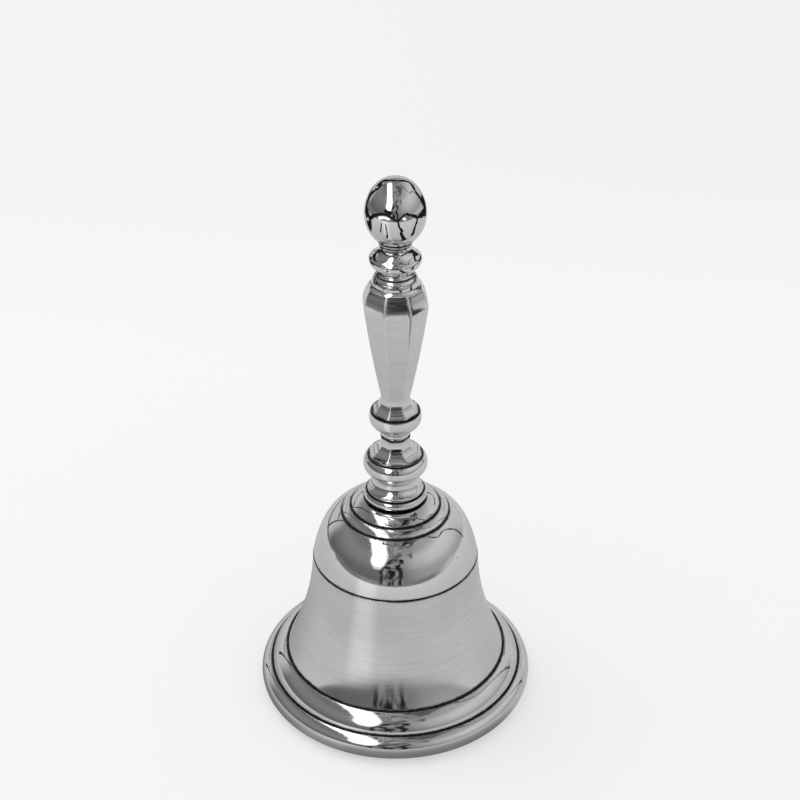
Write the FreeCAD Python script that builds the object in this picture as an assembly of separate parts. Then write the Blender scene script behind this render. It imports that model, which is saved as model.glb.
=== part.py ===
import FreeCAD, Part
import math
import os

# A hand-rung table bell. The handle is a stack of turned and facetted sections, clamped between the
# finial ball and the nut under the crown by one tie rod. The clapper hangs from a yoke that turns on
# the rod's lower end, so that it can strike the wall in any direction.
# Millimetres, +Z up. The origin is the centre of the mouth, on the surface that the bell stands on.

# Bell, radii
MOUTH_RADIUS = 28.3
LIP_OVERHANG = 2.0
BAND_WIDTH = 3.3
WAIST_TOP_RADIUS = 16.95
DOME_RADIUS = 16.8
DOME_SHOULDER_INSET = 1.85
OUTER_STEP_RADIUS = 10.75
INNER_STEP_RADIUS = 8.9
LIP_WIDTH = 3.4
LIP_ROUNDING = 2.4
WALL = 1.6

# Bell, heights of its zones from the mouth up
LIP_WIDEST_HEIGHT = 2.3
LIP_HEIGHT = 5.3
BAND_HEIGHT = 3.6
WAIST_HEIGHT = 23.7
DOME_HEIGHT = 11.0
DOME_SHOULDER_HEIGHT = 6.2
CROWN_BAND_HEIGHT = 1.4
CROWN_HEIGHT = 1.3
CROWN_THICKNESS = 2.4
STEP = 0.3

# Bell, how far each curve stands off its chord
LIP_FOOT_SWELL = 0.65
LIP_SWELL = 0.7
BAND_SWELL = 0.6
WAIST_HOLLOW = 1.3
DOME_SIDE_SWELL = 0.2
DOME_TOP_SWELL = 0.5
CROWN_BAND_SWELL = 0.2
CROWN_SWELL = 0.15
INNER_WAIST_HOLLOW = 1.4
INNER_DOME_SWELL = 2.0
ENGRAVED_LINE_WIDTH = 0.5
ENGRAVED_LINE_DEPTH = 0.25

# Tie rod, its nut and washer
ROD_RADIUS = 1.5
ROD_CLEARANCE = 0.05
ROD_ENGAGEMENT = 6.0
NUT_SIDES = 6
NUT_ACROSS_FLATS = 5.5
NUT_HEIGHT = 2.4
WASHER_RADIUS = 4.6
WASHER_THICKNESS = 0.8
WASHER_ROOM = 1.5

# Handle, section heights from the crown up, and the rises within each section
FOOT_HEIGHT = 2.3
FOOT_LAND = 0.4
SPOOL_HEIGHT = 4.3
SPOOL_LAND = 0.35
KNOP_HEIGHT = 3.9
KNOP_WIDEST_RISE = 2.145
TRUMPET_HEIGHT = 4.7
TRUMPET_FOOT_HEIGHT = 0.4
NECK_RING_HEIGHT = 2.0
NECK_RING_THICKNESS = 0.6
BEAD_HEIGHT = 3.75
BEAD_WIDEST_RISE = 2.25
GRIP_HEIGHT = 30.65
CAP_RING_HEIGHT = 1.5
CAP_RING_THICKNESS = 0.4
COLLAR_HEIGHT = 5.0
COLLAR_WIDEST_RISE = 1.5
COLLAR_SHOULDER_RISE = 2.4
FINIAL_RING_HEIGHT = 0.7

# Handle, radii
FOOT_RADIUS = 6.4
FOOT_INSET = 0.8
FOOT_OVERHANG = 0.1
SPOOL_RADIUS = 5.65
KNOP_RADIUS = 6.4
KNOP_SEAT_RADIUS = 4.8
TRUMPET_FOOT_INSET = 0.25
TRUMPET_LEDGE = 0.1
TRUMPET_NECK_INSET = 0.05
NECK_RADIUS = 2.95
NECK_TOP_RADIUS = 3.0
NECK_RING_RADIUS = 3.2
BEAD_SEAT_RADIUS = 3.3
BEAD_RADIUS = 5.15
CAP_RING_RADIUS = 3.6
CAP_NECK_RADIUS = 3.3
COLLAR_RADIUS = 5.0
COLLAR_OVERHANG = 0.3
COLLAR_SHOULDER_INSET = 0.4
FINIAL_SEAT_RADIUS = 3.3
FINIAL_NECK_RADIUS = 3.0
FINIAL_RADIUS = 5.85
FINIAL_UPPER_HEIGHT = 7.15
FINIAL_LOWER_HEIGHT = 6.6

# Handle, how far each curve stands off its chord
FOOT_SWELL = 0.72
SPOOL_HOLLOW = 1.15
KNOP_LOWER_SWELL = 0.5
KNOP_UPPER_SWELL = 0.2
TRUMPET_HOLLOW = 1.1
NECK_HOLLOW = 0.3
NECK_RING_SWELL = 0.25
BEAD_LOWER_SWELL = 0.55
BEAD_UPPER_SWELL = 0.05
GRIP_FOOT_HOLLOW = 0.5
GRIP_TAPER_SWELL = 0.2
GRIP_SHOULDER_SWELL = 0.25
GRIP_NECK_HOLLOW = 0.1
GRIP_TOP_SWELL = 0.25
CAP_RING_SWELL = 0.08
CAP_NECK_HOLLOW = 0.12
COLLAR_LOWER_SWELL = 0.35
COLLAR_SHOULDER_SWELL = 0.15
COLLAR_HOLLOW = 0.4
FINIAL_RING_SWELL = 0.15

# Octagonal grip: apothems, and the heights above its base where they hold
FACET_COUNT = 8
GRIP_FOOT_APOTHEM = 4.52
GRIP_RIM_APOTHEM = 4.1
GRIP_WAIST_APOTHEM = 2.85
GRIP_SHOULDER_APOTHEM = 6.15
GRIP_SHOULDER_TOP_APOTHEM = 4.85
GRIP_FOOT_RISE = 0.4
GRIP_WAIST_RISE = 3.9
GRIP_SHOULDER_RISE = 24.2
GRIP_SHOULDER_TOP_RISE = 28.0
GRIP_NECK_RISE = 28.8
GRIP_NECK_RADIUS = 4.45

# Yoke, clapper and their pin
JOURNAL_RADIUS = 1.0
RUNNING_CLEARANCE = 0.05
YOKE_END_PLAY = 0.1
YOKE_THICKNESS = 0.9
YOKE_WIDTH = 3.6
YOKE_DROP = 4.8
YOKE_NUT_RADIUS = 1.8
YOKE_NUT_HEIGHT = 1.3
PIN_RADIUS = 0.6
PIN_HEAD_RADIUS = 1.1
PIN_HEAD_HEIGHT = 0.4
CLAPPER_EYE_RADIUS = 1.5
CLAPPER_SIDE_PLAY = 0.3
CLAPPER_ROD_RADIUS = 0.8
CLAPPER_BALL_RADIUS = 4.2
CLAPPER_BALL_HEIGHT = 8.5
CLAPPER_BALL_ENGAGEMENT = 5.0

# Places along the axis
BAND_BASE = LIP_HEIGHT
WAIST_BASE = BAND_BASE + BAND_HEIGHT
DOME_BASE = WAIST_BASE + WAIST_HEIGHT
OUTER_STEP = DOME_BASE + DOME_HEIGHT
INNER_STEP = OUTER_STEP + CROWN_BAND_HEIGHT
FOOT_BASE = INNER_STEP + CROWN_HEIGHT
SPOOL_BASE = FOOT_BASE + FOOT_HEIGHT
KNOP_BASE = SPOOL_BASE + SPOOL_HEIGHT
TRUMPET_BASE = KNOP_BASE + KNOP_HEIGHT
NECK_RING_BASE = TRUMPET_BASE + TRUMPET_HEIGHT
BEAD_BASE = NECK_RING_BASE + NECK_RING_HEIGHT
GRIP_BASE = BEAD_BASE + BEAD_HEIGHT
CAP_RING_BASE = GRIP_BASE + GRIP_HEIGHT
COLLAR_BASE = CAP_RING_BASE + CAP_RING_HEIGHT
FINIAL_RING_BASE = COLLAR_BASE + COLLAR_HEIGHT
FINIAL_BASE = FINIAL_RING_BASE + FINIAL_RING_HEIGHT
CROWN_UNDERSIDE = FOOT_BASE - CROWN_THICKNESS
NUT_TOP = CROWN_UNDERSIDE - WASHER_THICKNESS
NUT_UNDERSIDE = NUT_TOP - NUT_HEIGHT
YOKE_TOP = NUT_UNDERSIDE - YOKE_END_PLAY
YOKE_NUT_TOP = YOKE_TOP - YOKE_THICKNESS - YOKE_END_PLAY
ROD_END = YOKE_NUT_TOP - YOKE_NUT_HEIGHT
PIVOT_HEIGHT = YOKE_TOP - YOKE_DROP

BORE_RADIUS = ROD_RADIUS + ROD_CLEARANCE
YOKE_GAP = 2 * (YOKE_NUT_RADIUS + CLAPPER_SIDE_PLAY)
CLOSED_WITHIN = 1e-6
CUT_PAST = 1.0
AXIS = FreeCAD.Vector(0, 0, 1)
CENTRE = FreeCAD.Vector(0, 0, 0)


class Outline:
    """Half a section in the XZ plane, drawn with the metal on the left of the direction of travel."""

    def __init__(self, radius, height):
        self.here = FreeCAD.Vector(radius, 0, height)
        self.start = self.here
        self.edges = []

    def line(self, radius, height):
        there = FreeCAD.Vector(radius, 0, height)
        self.edges.append(Part.LineSegment(self.here, there).toShape())
        self.here = there
        return self

    def curve(self, radius, height, swell):
        """An arc that stands off its chord by swell: positive is convex, negative is hollow."""
        there = FreeCAD.Vector(radius, 0, height)
        along = (there - self.here).normalize()
        outwards = FreeCAD.Vector(along.z, 0, -along.x)
        middle = (self.here + there) * 0.5 + outwards * swell
        self.edges.append(Part.Arc(self.here, middle, there).toShape())
        self.here = there
        return self

    def oval(self, radius, height, centre_height, half_width, half_height):
        """Part of an upright ellipse on the axis, from here to the point given."""
        centre = FreeCAD.Vector(0, 0, centre_height)
        tip = centre + FreeCAD.Vector(0, 0, half_height)
        ellipse = Part.Ellipse(tip, centre + FreeCAD.Vector(half_width, 0, 0), centre)
        there = FreeCAD.Vector(radius, 0, height)
        turns = sorted((ellipse.parameter(self.here), ellipse.parameter(there)))
        self.edges.append(ellipse.toShape(turns[0], turns[1]))
        self.here = there
        return self

    def spun(self):
        """The outline, closed back to its start, turned about the axis."""
        if self.here.distanceToPoint(self.start) > CLOSED_WITHIN:
            self.line(self.start.x, self.start.z)
        return Part.Face(Part.Wire(Part.__sortEdges__(self.edges))).revolve(CENTRE, AXIS, 360)

    def slab(self, reach):
        """The outline and its mirror image, drawn out to reach on both sides: two facing facets."""
        mirrored = [edge.mirror(CENTRE, FreeCAD.Vector(1, 0, 0)) for edge in self.edges]
        face = Part.Face(Part.Wire(Part.__sortEdges__(self.edges + mirrored)))
        face.translate(FreeCAD.Vector(0, -reach, 0))
        return face.extrude(FreeCAD.Vector(0, 2 * reach, 0))


def facetted(outline, reach):
    """A solid with FACET_COUNT equal sides, whose flats follow the outline."""
    turn = 360.0 / FACET_COUNT
    slabs = []
    for index in range(FACET_COUNT // 2):
        slab = outline.slab(reach)
        slab.rotate(CENTRE, AXIS, index * turn)
        slabs.append(slab)
    solid = slabs[0]
    for slab in slabs[1:]:
        solid = solid.common(slab)
    return solid


def corner_radius(apothem):
    """How far the corners of a facetted section stand from the axis."""
    return apothem / math.cos(math.pi / FACET_COUNT)


def rod_between(radius, low, high):
    """An upright cylinder on the axis."""
    return Part.makeCylinder(radius, high - low, FreeCAD.Vector(0, 0, low))


def bored(solid, low, high):
    """The solid with the tie rod's passage through it."""
    return solid.cut(rod_between(BORE_RADIUS, low - CUT_PAST, high + CUT_PAST))


def bell_shell():
    """The bell in one piece: lip, band, flaring waist, dome and stepped crown, with an even wall."""
    band_radius = MOUTH_RADIUS - LIP_OVERHANG
    waist_radius = band_radius - BAND_WIDTH
    line_half = ENGRAVED_LINE_WIDTH / 2
    line_floor = DOME_RADIUS - ENGRAVED_LINE_DEPTH
    lip_inside = MOUTH_RADIUS - LIP_WIDTH
    inner_flat_radius = WASHER_RADIUS + WASHER_ROOM
    shell = Outline(lip_inside, 0.0)
    shell.line(MOUTH_RADIUS - LIP_ROUNDING, 0.0)
    shell.curve(MOUTH_RADIUS, LIP_WIDEST_HEIGHT, LIP_FOOT_SWELL)
    shell.curve(band_radius, BAND_BASE, LIP_SWELL)
    shell.line(band_radius - STEP, BAND_BASE)
    shell.curve(waist_radius, WAIST_BASE, BAND_SWELL)
    shell.line(waist_radius - STEP, WAIST_BASE)
    shell.curve(WAIST_TOP_RADIUS, DOME_BASE - line_half, -WAIST_HOLLOW)
    shell.line(line_floor, DOME_BASE)
    shell.line(DOME_RADIUS, DOME_BASE + line_half)
    shell.curve(DOME_RADIUS - DOME_SHOULDER_INSET, DOME_BASE + DOME_SHOULDER_HEIGHT, DOME_SIDE_SWELL)
    shell.curve(OUTER_STEP_RADIUS, OUTER_STEP - STEP, DOME_TOP_SWELL)
    shell.line(OUTER_STEP_RADIUS, OUTER_STEP)
    shell.curve(INNER_STEP_RADIUS, INNER_STEP - STEP, CROWN_BAND_SWELL)
    shell.line(INNER_STEP_RADIUS, INNER_STEP)
    shell.curve(FOOT_RADIUS, FOOT_BASE, CROWN_SWELL)
    shell.line(BORE_RADIUS, FOOT_BASE)
    shell.line(BORE_RADIUS, CROWN_UNDERSIDE)
    shell.line(inner_flat_radius, CROWN_UNDERSIDE)
    shell.curve(DOME_RADIUS - WALL, DOME_BASE, -INNER_DOME_SWELL)
    shell.curve(lip_inside, 0.0, INNER_WAIST_HOLLOW)
    return shell.spun()


def foot_ring():
    """The moulded ring under the spool, standing on the crown."""
    top = FOOT_BASE + FOOT_HEIGHT
    land_radius = FOOT_RADIUS - FOOT_INSET
    ring = Outline(BORE_RADIUS, FOOT_BASE)
    ring.line(land_radius, FOOT_BASE)
    ring.line(land_radius, FOOT_BASE + FOOT_LAND)
    ring.curve(SPOOL_RADIUS + FOOT_OVERHANG, top, FOOT_SWELL)
    ring.line(BORE_RADIUS, top)
    return ring.spun()


def spool():
    """A hollow-sided collar that carries the main knop."""
    top = SPOOL_BASE + SPOOL_HEIGHT
    body = Outline(BORE_RADIUS, SPOOL_BASE)
    body.line(SPOOL_RADIUS, SPOOL_BASE)
    body.line(SPOOL_RADIUS, SPOOL_BASE + SPOOL_LAND)
    body.curve(KNOP_SEAT_RADIUS, top, -SPOOL_HOLLOW)
    body.line(BORE_RADIUS, top)
    return body.spun()


def knop_bead():
    """The widest bead of the handle, with a flat ledge on top."""
    top = KNOP_BASE + KNOP_HEIGHT
    bead = Outline(BORE_RADIUS, KNOP_BASE)
    bead.line(KNOP_SEAT_RADIUS, KNOP_BASE)
    bead.curve(KNOP_RADIUS, KNOP_BASE + KNOP_WIDEST_RISE, KNOP_LOWER_SWELL)
    bead.curve(SPOOL_RADIUS, top, KNOP_UPPER_SWELL)
    bead.line(BORE_RADIUS, top)
    return bead.spun()


def trumpet():
    """An eight-sided hollow flare that spreads to a round foot."""
    top = TRUMPET_BASE + TRUMPET_HEIGHT
    foot_radius = SPOOL_RADIUS - TRUMPET_FOOT_INSET
    foot_top = TRUMPET_BASE + TRUMPET_FOOT_HEIGHT
    flare_radius = foot_radius - TRUMPET_LEDGE
    foot = rod_between(foot_radius, TRUMPET_BASE, foot_top)
    flare = Outline(0.0, TRUMPET_BASE)
    flare.line(flare_radius, TRUMPET_BASE)
    flare.line(flare_radius, foot_top)
    flare.curve(NECK_RADIUS - TRUMPET_NECK_INSET, top, -TRUMPET_HOLLOW)
    flare.line(0.0, top)
    round_limit = rod_between(flare_radius, TRUMPET_BASE, top)
    body = facetted(flare, 2 * foot_radius).common(round_limit)
    return bored(body.fuse(foot).removeSplitter(), TRUMPET_BASE, top)


def neck_ring():
    """The narrow neck between trumpet and grip bead, with a small ring at its top."""
    top = NECK_RING_BASE + NECK_RING_HEIGHT
    ring = Outline(BORE_RADIUS, NECK_RING_BASE)
    ring.line(NECK_RADIUS, NECK_RING_BASE)
    ring.curve(NECK_TOP_RADIUS, top - NECK_RING_THICKNESS, -NECK_HOLLOW)
    ring.curve(NECK_RING_RADIUS, top, NECK_RING_SWELL)
    ring.line(BORE_RADIUS, top)
    return ring.spun()


def grip_bead():
    """The bead that the grip stands on. Its top is as wide as the grip's corners."""
    top = BEAD_BASE + BEAD_HEIGHT
    bead = Outline(BORE_RADIUS, BEAD_BASE)
    bead.line(BEAD_SEAT_RADIUS, BEAD_BASE)
    bead.curve(BEAD_RADIUS, BEAD_BASE + BEAD_WIDEST_RISE, BEAD_LOWER_SWELL)
    bead.curve(corner_radius(GRIP_FOOT_APOTHEM), top, BEAD_UPPER_SWELL)
    bead.line(BORE_RADIUS, top)
    return bead.spun()


def grip():
    """The eight-sided baluster: a stepped foot, a narrow waist, a long taper and a turned neck."""
    top = GRIP_BASE + GRIP_HEIGHT
    foot_top = GRIP_BASE + GRIP_FOOT_RISE
    waist = GRIP_BASE + GRIP_WAIST_RISE
    shoulder = GRIP_BASE + GRIP_SHOULDER_RISE
    shoulder_top = GRIP_BASE + GRIP_SHOULDER_TOP_RISE
    neck = GRIP_BASE + GRIP_NECK_RISE
    reach = 2 * GRIP_SHOULDER_APOTHEM
    flats = Outline(0.0, GRIP_BASE)
    flats.line(GRIP_FOOT_APOTHEM, GRIP_BASE)
    flats.line(GRIP_RIM_APOTHEM, foot_top)
    flats.curve(GRIP_WAIST_APOTHEM, waist, -GRIP_FOOT_HOLLOW)
    flats.curve(GRIP_SHOULDER_APOTHEM, shoulder, GRIP_TAPER_SWELL)
    flats.curve(GRIP_SHOULDER_TOP_APOTHEM, shoulder_top, GRIP_SHOULDER_SWELL)
    flats.line(GRIP_SHOULDER_TOP_APOTHEM, top)
    flats.line(0.0, top)
    turned = Outline(0.0, GRIP_BASE)
    turned.line(reach, GRIP_BASE)
    turned.line(reach, shoulder_top)
    turned.line(corner_radius(GRIP_SHOULDER_TOP_APOTHEM), shoulder_top)
    turned.curve(GRIP_NECK_RADIUS, neck, -GRIP_NECK_HOLLOW)
    turned.curve(CAP_RING_RADIUS, top, GRIP_TOP_SWELL)
    turned.line(0.0, top)
    body = facetted(flats, reach).common(turned.spun())
    return bored(body, GRIP_BASE, top)


def cap_ring():
    """The small necked ring between the grip and the finial's collar."""
    top = CAP_RING_BASE + CAP_RING_HEIGHT
    ring = Outline(BORE_RADIUS, CAP_RING_BASE)
    ring.line(CAP_RING_RADIUS, CAP_RING_BASE)
    ring.curve(CAP_RING_RADIUS, CAP_RING_BASE + CAP_RING_THICKNESS, CAP_RING_SWELL)
    ring.curve(CAP_NECK_RADIUS, top, -CAP_NECK_HOLLOW)
    ring.line(BORE_RADIUS, top)
    return ring.spun()


def finial_collar():
    """A round-edged collar under the finial, hollowed on top."""
    top = COLLAR_BASE + COLLAR_HEIGHT
    shoulder_radius = COLLAR_RADIUS - COLLAR_SHOULDER_INSET
    collar = Outline(BORE_RADIUS, COLLAR_BASE)
    collar.line(CAP_NECK_RADIUS + COLLAR_OVERHANG, COLLAR_BASE)
    collar.curve(COLLAR_RADIUS, COLLAR_BASE + COLLAR_WIDEST_RISE, COLLAR_LOWER_SWELL)
    collar.curve(shoulder_radius, COLLAR_BASE + COLLAR_SHOULDER_RISE, COLLAR_SHOULDER_SWELL)
    collar.curve(FINIAL_NECK_RADIUS, top, -COLLAR_HOLLOW)
    collar.line(BORE_RADIUS, top)
    return collar.spun()


def finial_ring():
    """The thin ring that the finial ball is screwed down on."""
    top = FINIAL_RING_BASE + FINIAL_RING_HEIGHT
    ring = Outline(BORE_RADIUS, FINIAL_RING_BASE)
    ring.line(FINIAL_NECK_RADIUS, FINIAL_RING_BASE)
    ring.curve(FINIAL_SEAT_RADIUS, top, FINIAL_RING_SWELL)
    ring.line(BORE_RADIUS, top)
    return ring.spun()


def finial_ball():
    """An egg-shaped ball, flat where it seats, with a blind hole for the tie rod."""
    drop = FINIAL_LOWER_HEIGHT * math.sqrt(1.0 - (FINIAL_SEAT_RADIUS / FINIAL_RADIUS) ** 2)
    middle = FINIAL_BASE + drop
    hole_top = FINIAL_BASE + ROD_ENGAGEMENT
    egg = Outline(ROD_RADIUS, FINIAL_BASE)
    egg.line(FINIAL_SEAT_RADIUS, FINIAL_BASE)
    egg.oval(FINIAL_RADIUS, middle, middle, FINIAL_RADIUS, FINIAL_LOWER_HEIGHT)
    egg.oval(0.0, middle + FINIAL_UPPER_HEIGHT, middle, FINIAL_RADIUS, FINIAL_UPPER_HEIGHT)
    egg.line(0.0, hole_top)
    egg.line(ROD_RADIUS, hole_top)
    return egg.spun()


def tie_rod():
    """The rod through the whole handle, with a thinner journal for the yoke at its lower end."""
    rod = rod_between(ROD_RADIUS, NUT_UNDERSIDE, FINIAL_BASE + ROD_ENGAGEMENT)
    journal = rod_between(JOURNAL_RADIUS, ROD_END, NUT_UNDERSIDE)
    return rod.fuse(journal).removeSplitter()


def crown_washer():
    """The washer between the crown's underside and the nut."""
    washer = rod_between(WASHER_RADIUS, NUT_TOP, CROWN_UNDERSIDE)
    return bored(washer, NUT_TOP, CROWN_UNDERSIDE)


def crown_nut():
    """The hexagon nut that draws the handle down on the crown."""
    reach = NUT_ACROSS_FLATS / (2 * math.cos(math.pi / NUT_SIDES))
    corners = []
    for index in range(NUT_SIDES + 1):
        angle = index * 2 * math.pi / NUT_SIDES
        corners.append(FreeCAD.Vector(reach * math.cos(angle), reach * math.sin(angle), NUT_UNDERSIDE))
    blank = Part.Face(Part.makePolygon(corners)).extrude(FreeCAD.Vector(0, 0, NUT_HEIGHT))
    return blank.cut(rod_between(ROD_RADIUS, NUT_UNDERSIDE - CUT_PAST, NUT_TOP + CUT_PAST))


def yoke_nut():
    """The round nut on the rod's end that keeps the yoke on its journal."""
    nut = rod_between(YOKE_NUT_RADIUS, ROD_END, YOKE_NUT_TOP)
    return nut.cut(rod_between(JOURNAL_RADIUS, ROD_END - CUT_PAST, YOKE_NUT_TOP + CUT_PAST))


def across(radius, half_length):
    """A cylinder along Y, through the pivot."""
    base = FreeCAD.Vector(0, -half_length, PIVOT_HEIGHT)
    return Part.makeCylinder(radius, 2 * half_length, base, FreeCAD.Vector(0, 1, 0))


def swivel_yoke():
    """A bent strap: a plate that turns on the journal and two ears that carry the clapper's pin."""
    half_width = YOKE_WIDTH / 2
    half_span = YOKE_GAP / 2 + YOKE_THICKNESS
    corner = FreeCAD.Vector(-half_width, -half_span, PIVOT_HEIGHT)
    block = Part.makeBox(YOKE_WIDTH, 2 * half_span, YOKE_TOP - PIVOT_HEIGHT, corner)
    strap = block.fuse(across(half_width, half_span))
    # The slot between the ears runs past the strap on its open sides.
    slot_corner = FreeCAD.Vector(-YOKE_WIDTH, -YOKE_GAP / 2, PIVOT_HEIGHT - YOKE_WIDTH)
    slot_height = YOKE_TOP - YOKE_THICKNESS - slot_corner.z
    strap = strap.cut(Part.makeBox(2 * YOKE_WIDTH, YOKE_GAP, slot_height, slot_corner))
    strap = strap.cut(rod_between(JOURNAL_RADIUS + RUNNING_CLEARANCE, YOKE_NUT_TOP, YOKE_TOP + CUT_PAST))
    return strap.cut(across(PIN_RADIUS, 2 * half_span)).removeSplitter()


def clapper_pin():
    """The pin across the yoke's ears, with a head formed on each end."""
    half_span = YOKE_GAP / 2 + YOKE_THICKNESS
    shank = across(PIN_RADIUS, half_span)
    heads = across(PIN_HEAD_RADIUS, half_span + PIN_HEAD_HEIGHT).cut(across(2 * PIN_HEAD_RADIUS, half_span))
    return shank.fuse(heads).removeSplitter()


def clapper_rod():
    """The clapper's rod, with a cross barrel at its top that swings on the pin."""
    barrel_half = YOKE_GAP / 2 - CLAPPER_SIDE_PLAY
    end = CLAPPER_BALL_HEIGHT + CLAPPER_BALL_RADIUS - CLAPPER_BALL_ENGAGEMENT
    shank = rod_between(CLAPPER_ROD_RADIUS, end, PIVOT_HEIGHT)
    barrel = across(CLAPPER_EYE_RADIUS, barrel_half)
    return barrel.fuse(shank).cut(across(PIN_RADIUS + RUNNING_CLEARANCE, YOKE_GAP)).removeSplitter()


def clapper_ball():
    """The ball that strikes the wall, screwed on the clapper's rod."""
    ball = Part.makeSphere(CLAPPER_BALL_RADIUS, FreeCAD.Vector(0, 0, CLAPPER_BALL_HEIGHT))
    top = CLAPPER_BALL_HEIGHT + CLAPPER_BALL_RADIUS
    return ball.cut(rod_between(CLAPPER_ROD_RADIUS, top - CLAPPER_BALL_ENGAGEMENT, top + CUT_PAST))


SUB_PARTS = (
    bell_shell,
    foot_ring,
    spool,
    knop_bead,
    trumpet,
    neck_ring,
    grip_bead,
    grip,
    cap_ring,
    finial_collar,
    finial_ring,
    finial_ball,
    tie_rod,
    crown_washer,
    crown_nut,
    yoke_nut,
    swivel_yoke,
    clapper_pin,
    clapper_rod,
    clapper_ball,
)

os.makedirs("parts", exist_ok=True)
for make in SUB_PARTS:
    shape = make()
    if not shape.isValid() or len(shape.Solids) != 1:
        raise ValueError(f"{make.__name__} is not one valid solid")
    shape.Solids[0].exportStep(f"parts/{make.__name__}.step")
    box = shape.BoundBox
    print(f"{make.__name__}: {shape.Volume:.1f} mm3, z {box.ZMin:.2f} to {box.ZMax:.2f}")
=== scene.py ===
"""A hand-rung silver table bell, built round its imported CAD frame.

Sizes of sections are in millimetres, as a turner would note them. Meshes, lights and the camera are in
metres, in the CAD's own frame: +Z up, the origin at the centre of the mouth.
"""

import logging
import math
from dataclasses import dataclass
from enum import Enum
from typing import Any, Callable, Sequence

import bpy
import numpy as np
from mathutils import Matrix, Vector


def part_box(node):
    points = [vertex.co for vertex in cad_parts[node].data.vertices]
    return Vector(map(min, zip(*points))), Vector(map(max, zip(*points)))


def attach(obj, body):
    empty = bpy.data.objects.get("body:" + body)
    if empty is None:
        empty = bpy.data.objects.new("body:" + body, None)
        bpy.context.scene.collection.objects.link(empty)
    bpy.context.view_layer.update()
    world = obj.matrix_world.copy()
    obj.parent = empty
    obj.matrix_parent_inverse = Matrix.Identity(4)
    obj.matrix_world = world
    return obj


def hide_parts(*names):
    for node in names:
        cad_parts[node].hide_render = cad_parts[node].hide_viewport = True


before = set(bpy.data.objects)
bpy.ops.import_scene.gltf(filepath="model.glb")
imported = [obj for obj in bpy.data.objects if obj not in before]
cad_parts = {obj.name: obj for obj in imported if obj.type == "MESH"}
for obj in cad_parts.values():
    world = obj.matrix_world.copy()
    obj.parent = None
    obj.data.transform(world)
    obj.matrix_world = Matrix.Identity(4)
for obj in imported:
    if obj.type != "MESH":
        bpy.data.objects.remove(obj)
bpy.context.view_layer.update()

Socket, Material, Piece = bpy.types.NodeSocket, bpy.types.Material, bpy.types.Object

LOG = logging.getLogger("table_bell")
MM = 0.001
MOVING = {"swivel_yoke": "yoke", "clapper_pin": "yoke", "clapper_rod": "clapper", "clapper_ball": "clapper"}

AXIS_RADIUS = 1e-7
SAME_PLACE = 1e-6
SHARP_TURN = math.radians(9.0)
FULL_TARNISH_AND_SHADE_TURN = math.radians(50.0)
ARC_TURN, ARC_LENGTH = math.radians(3.0), 0.8
GUARD = 0.07
LONGEST_ROUNDING = 0.35
ROUNDING_SHARES = (0.17, 0.34, 0.5, 0.66, 0.83)


# ---- Sections ----


class Zone(Enum):
    """How a stretch of a section is finished."""

    POLISHED = "polished"
    SATIN = "satin"
    INSIDE = "left as cast"


class Turning(Enum):
    """The axis that a section is turned about."""

    UPRIGHT = "the bell's axis"
    ACROSS = "the clapper pin's axis"


@dataclass
class Section:
    """A closed half section: its points and how each of them is finished."""

    points: np.ndarray
    tarnish_and_shade: np.ndarray
    zones: list[Zone]


def distances(points: np.ndarray) -> np.ndarray:
    """How far along a run each of its points is."""
    steps = np.linalg.norm(np.diff(points, axis=0), axis=1)
    return np.concatenate(([0.0], np.cumsum(steps)))


def sampled(points: np.ndarray, wanted: Sequence[float]) -> np.ndarray:
    """A run's points at the distances wanted."""
    along = distances(points)
    return np.column_stack([np.interp(wanted, along, points[:, column]) for column in range(2)])


def shortened(points: np.ndarray, from_start: float, from_end: float) -> np.ndarray:
    """A run of points with a length taken off each end.

    Args:
        points: the run, one row of radius and height for each point.
        from_start: the length to take off its start.
        from_end: the length to take off its end.

    Returns:
        The shorter run.
    """
    along = distances(points)
    low, high = from_start, along[-1] - from_end
    kept = [value for value in along if low + SAME_PLACE < value < high - SAME_PLACE]
    return sampled(points, [low, *kept, high])


def guarded(points: np.ndarray) -> np.ndarray:
    """A run with a point added close to each end, which keeps a flat face flat beside its rounded edge."""
    along = distances(points)
    total = along[-1]
    if total < 4.0 * GUARD:
        return points
    wanted = sorted({*along.tolist(), GUARD, total - GUARD})
    clear = [wanted[0]]
    for value in wanted[1:]:
        if value - clear[-1] > GUARD * 0.3:
            clear.append(value)
    clear[-1] = total
    return sampled(points, clear)


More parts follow.
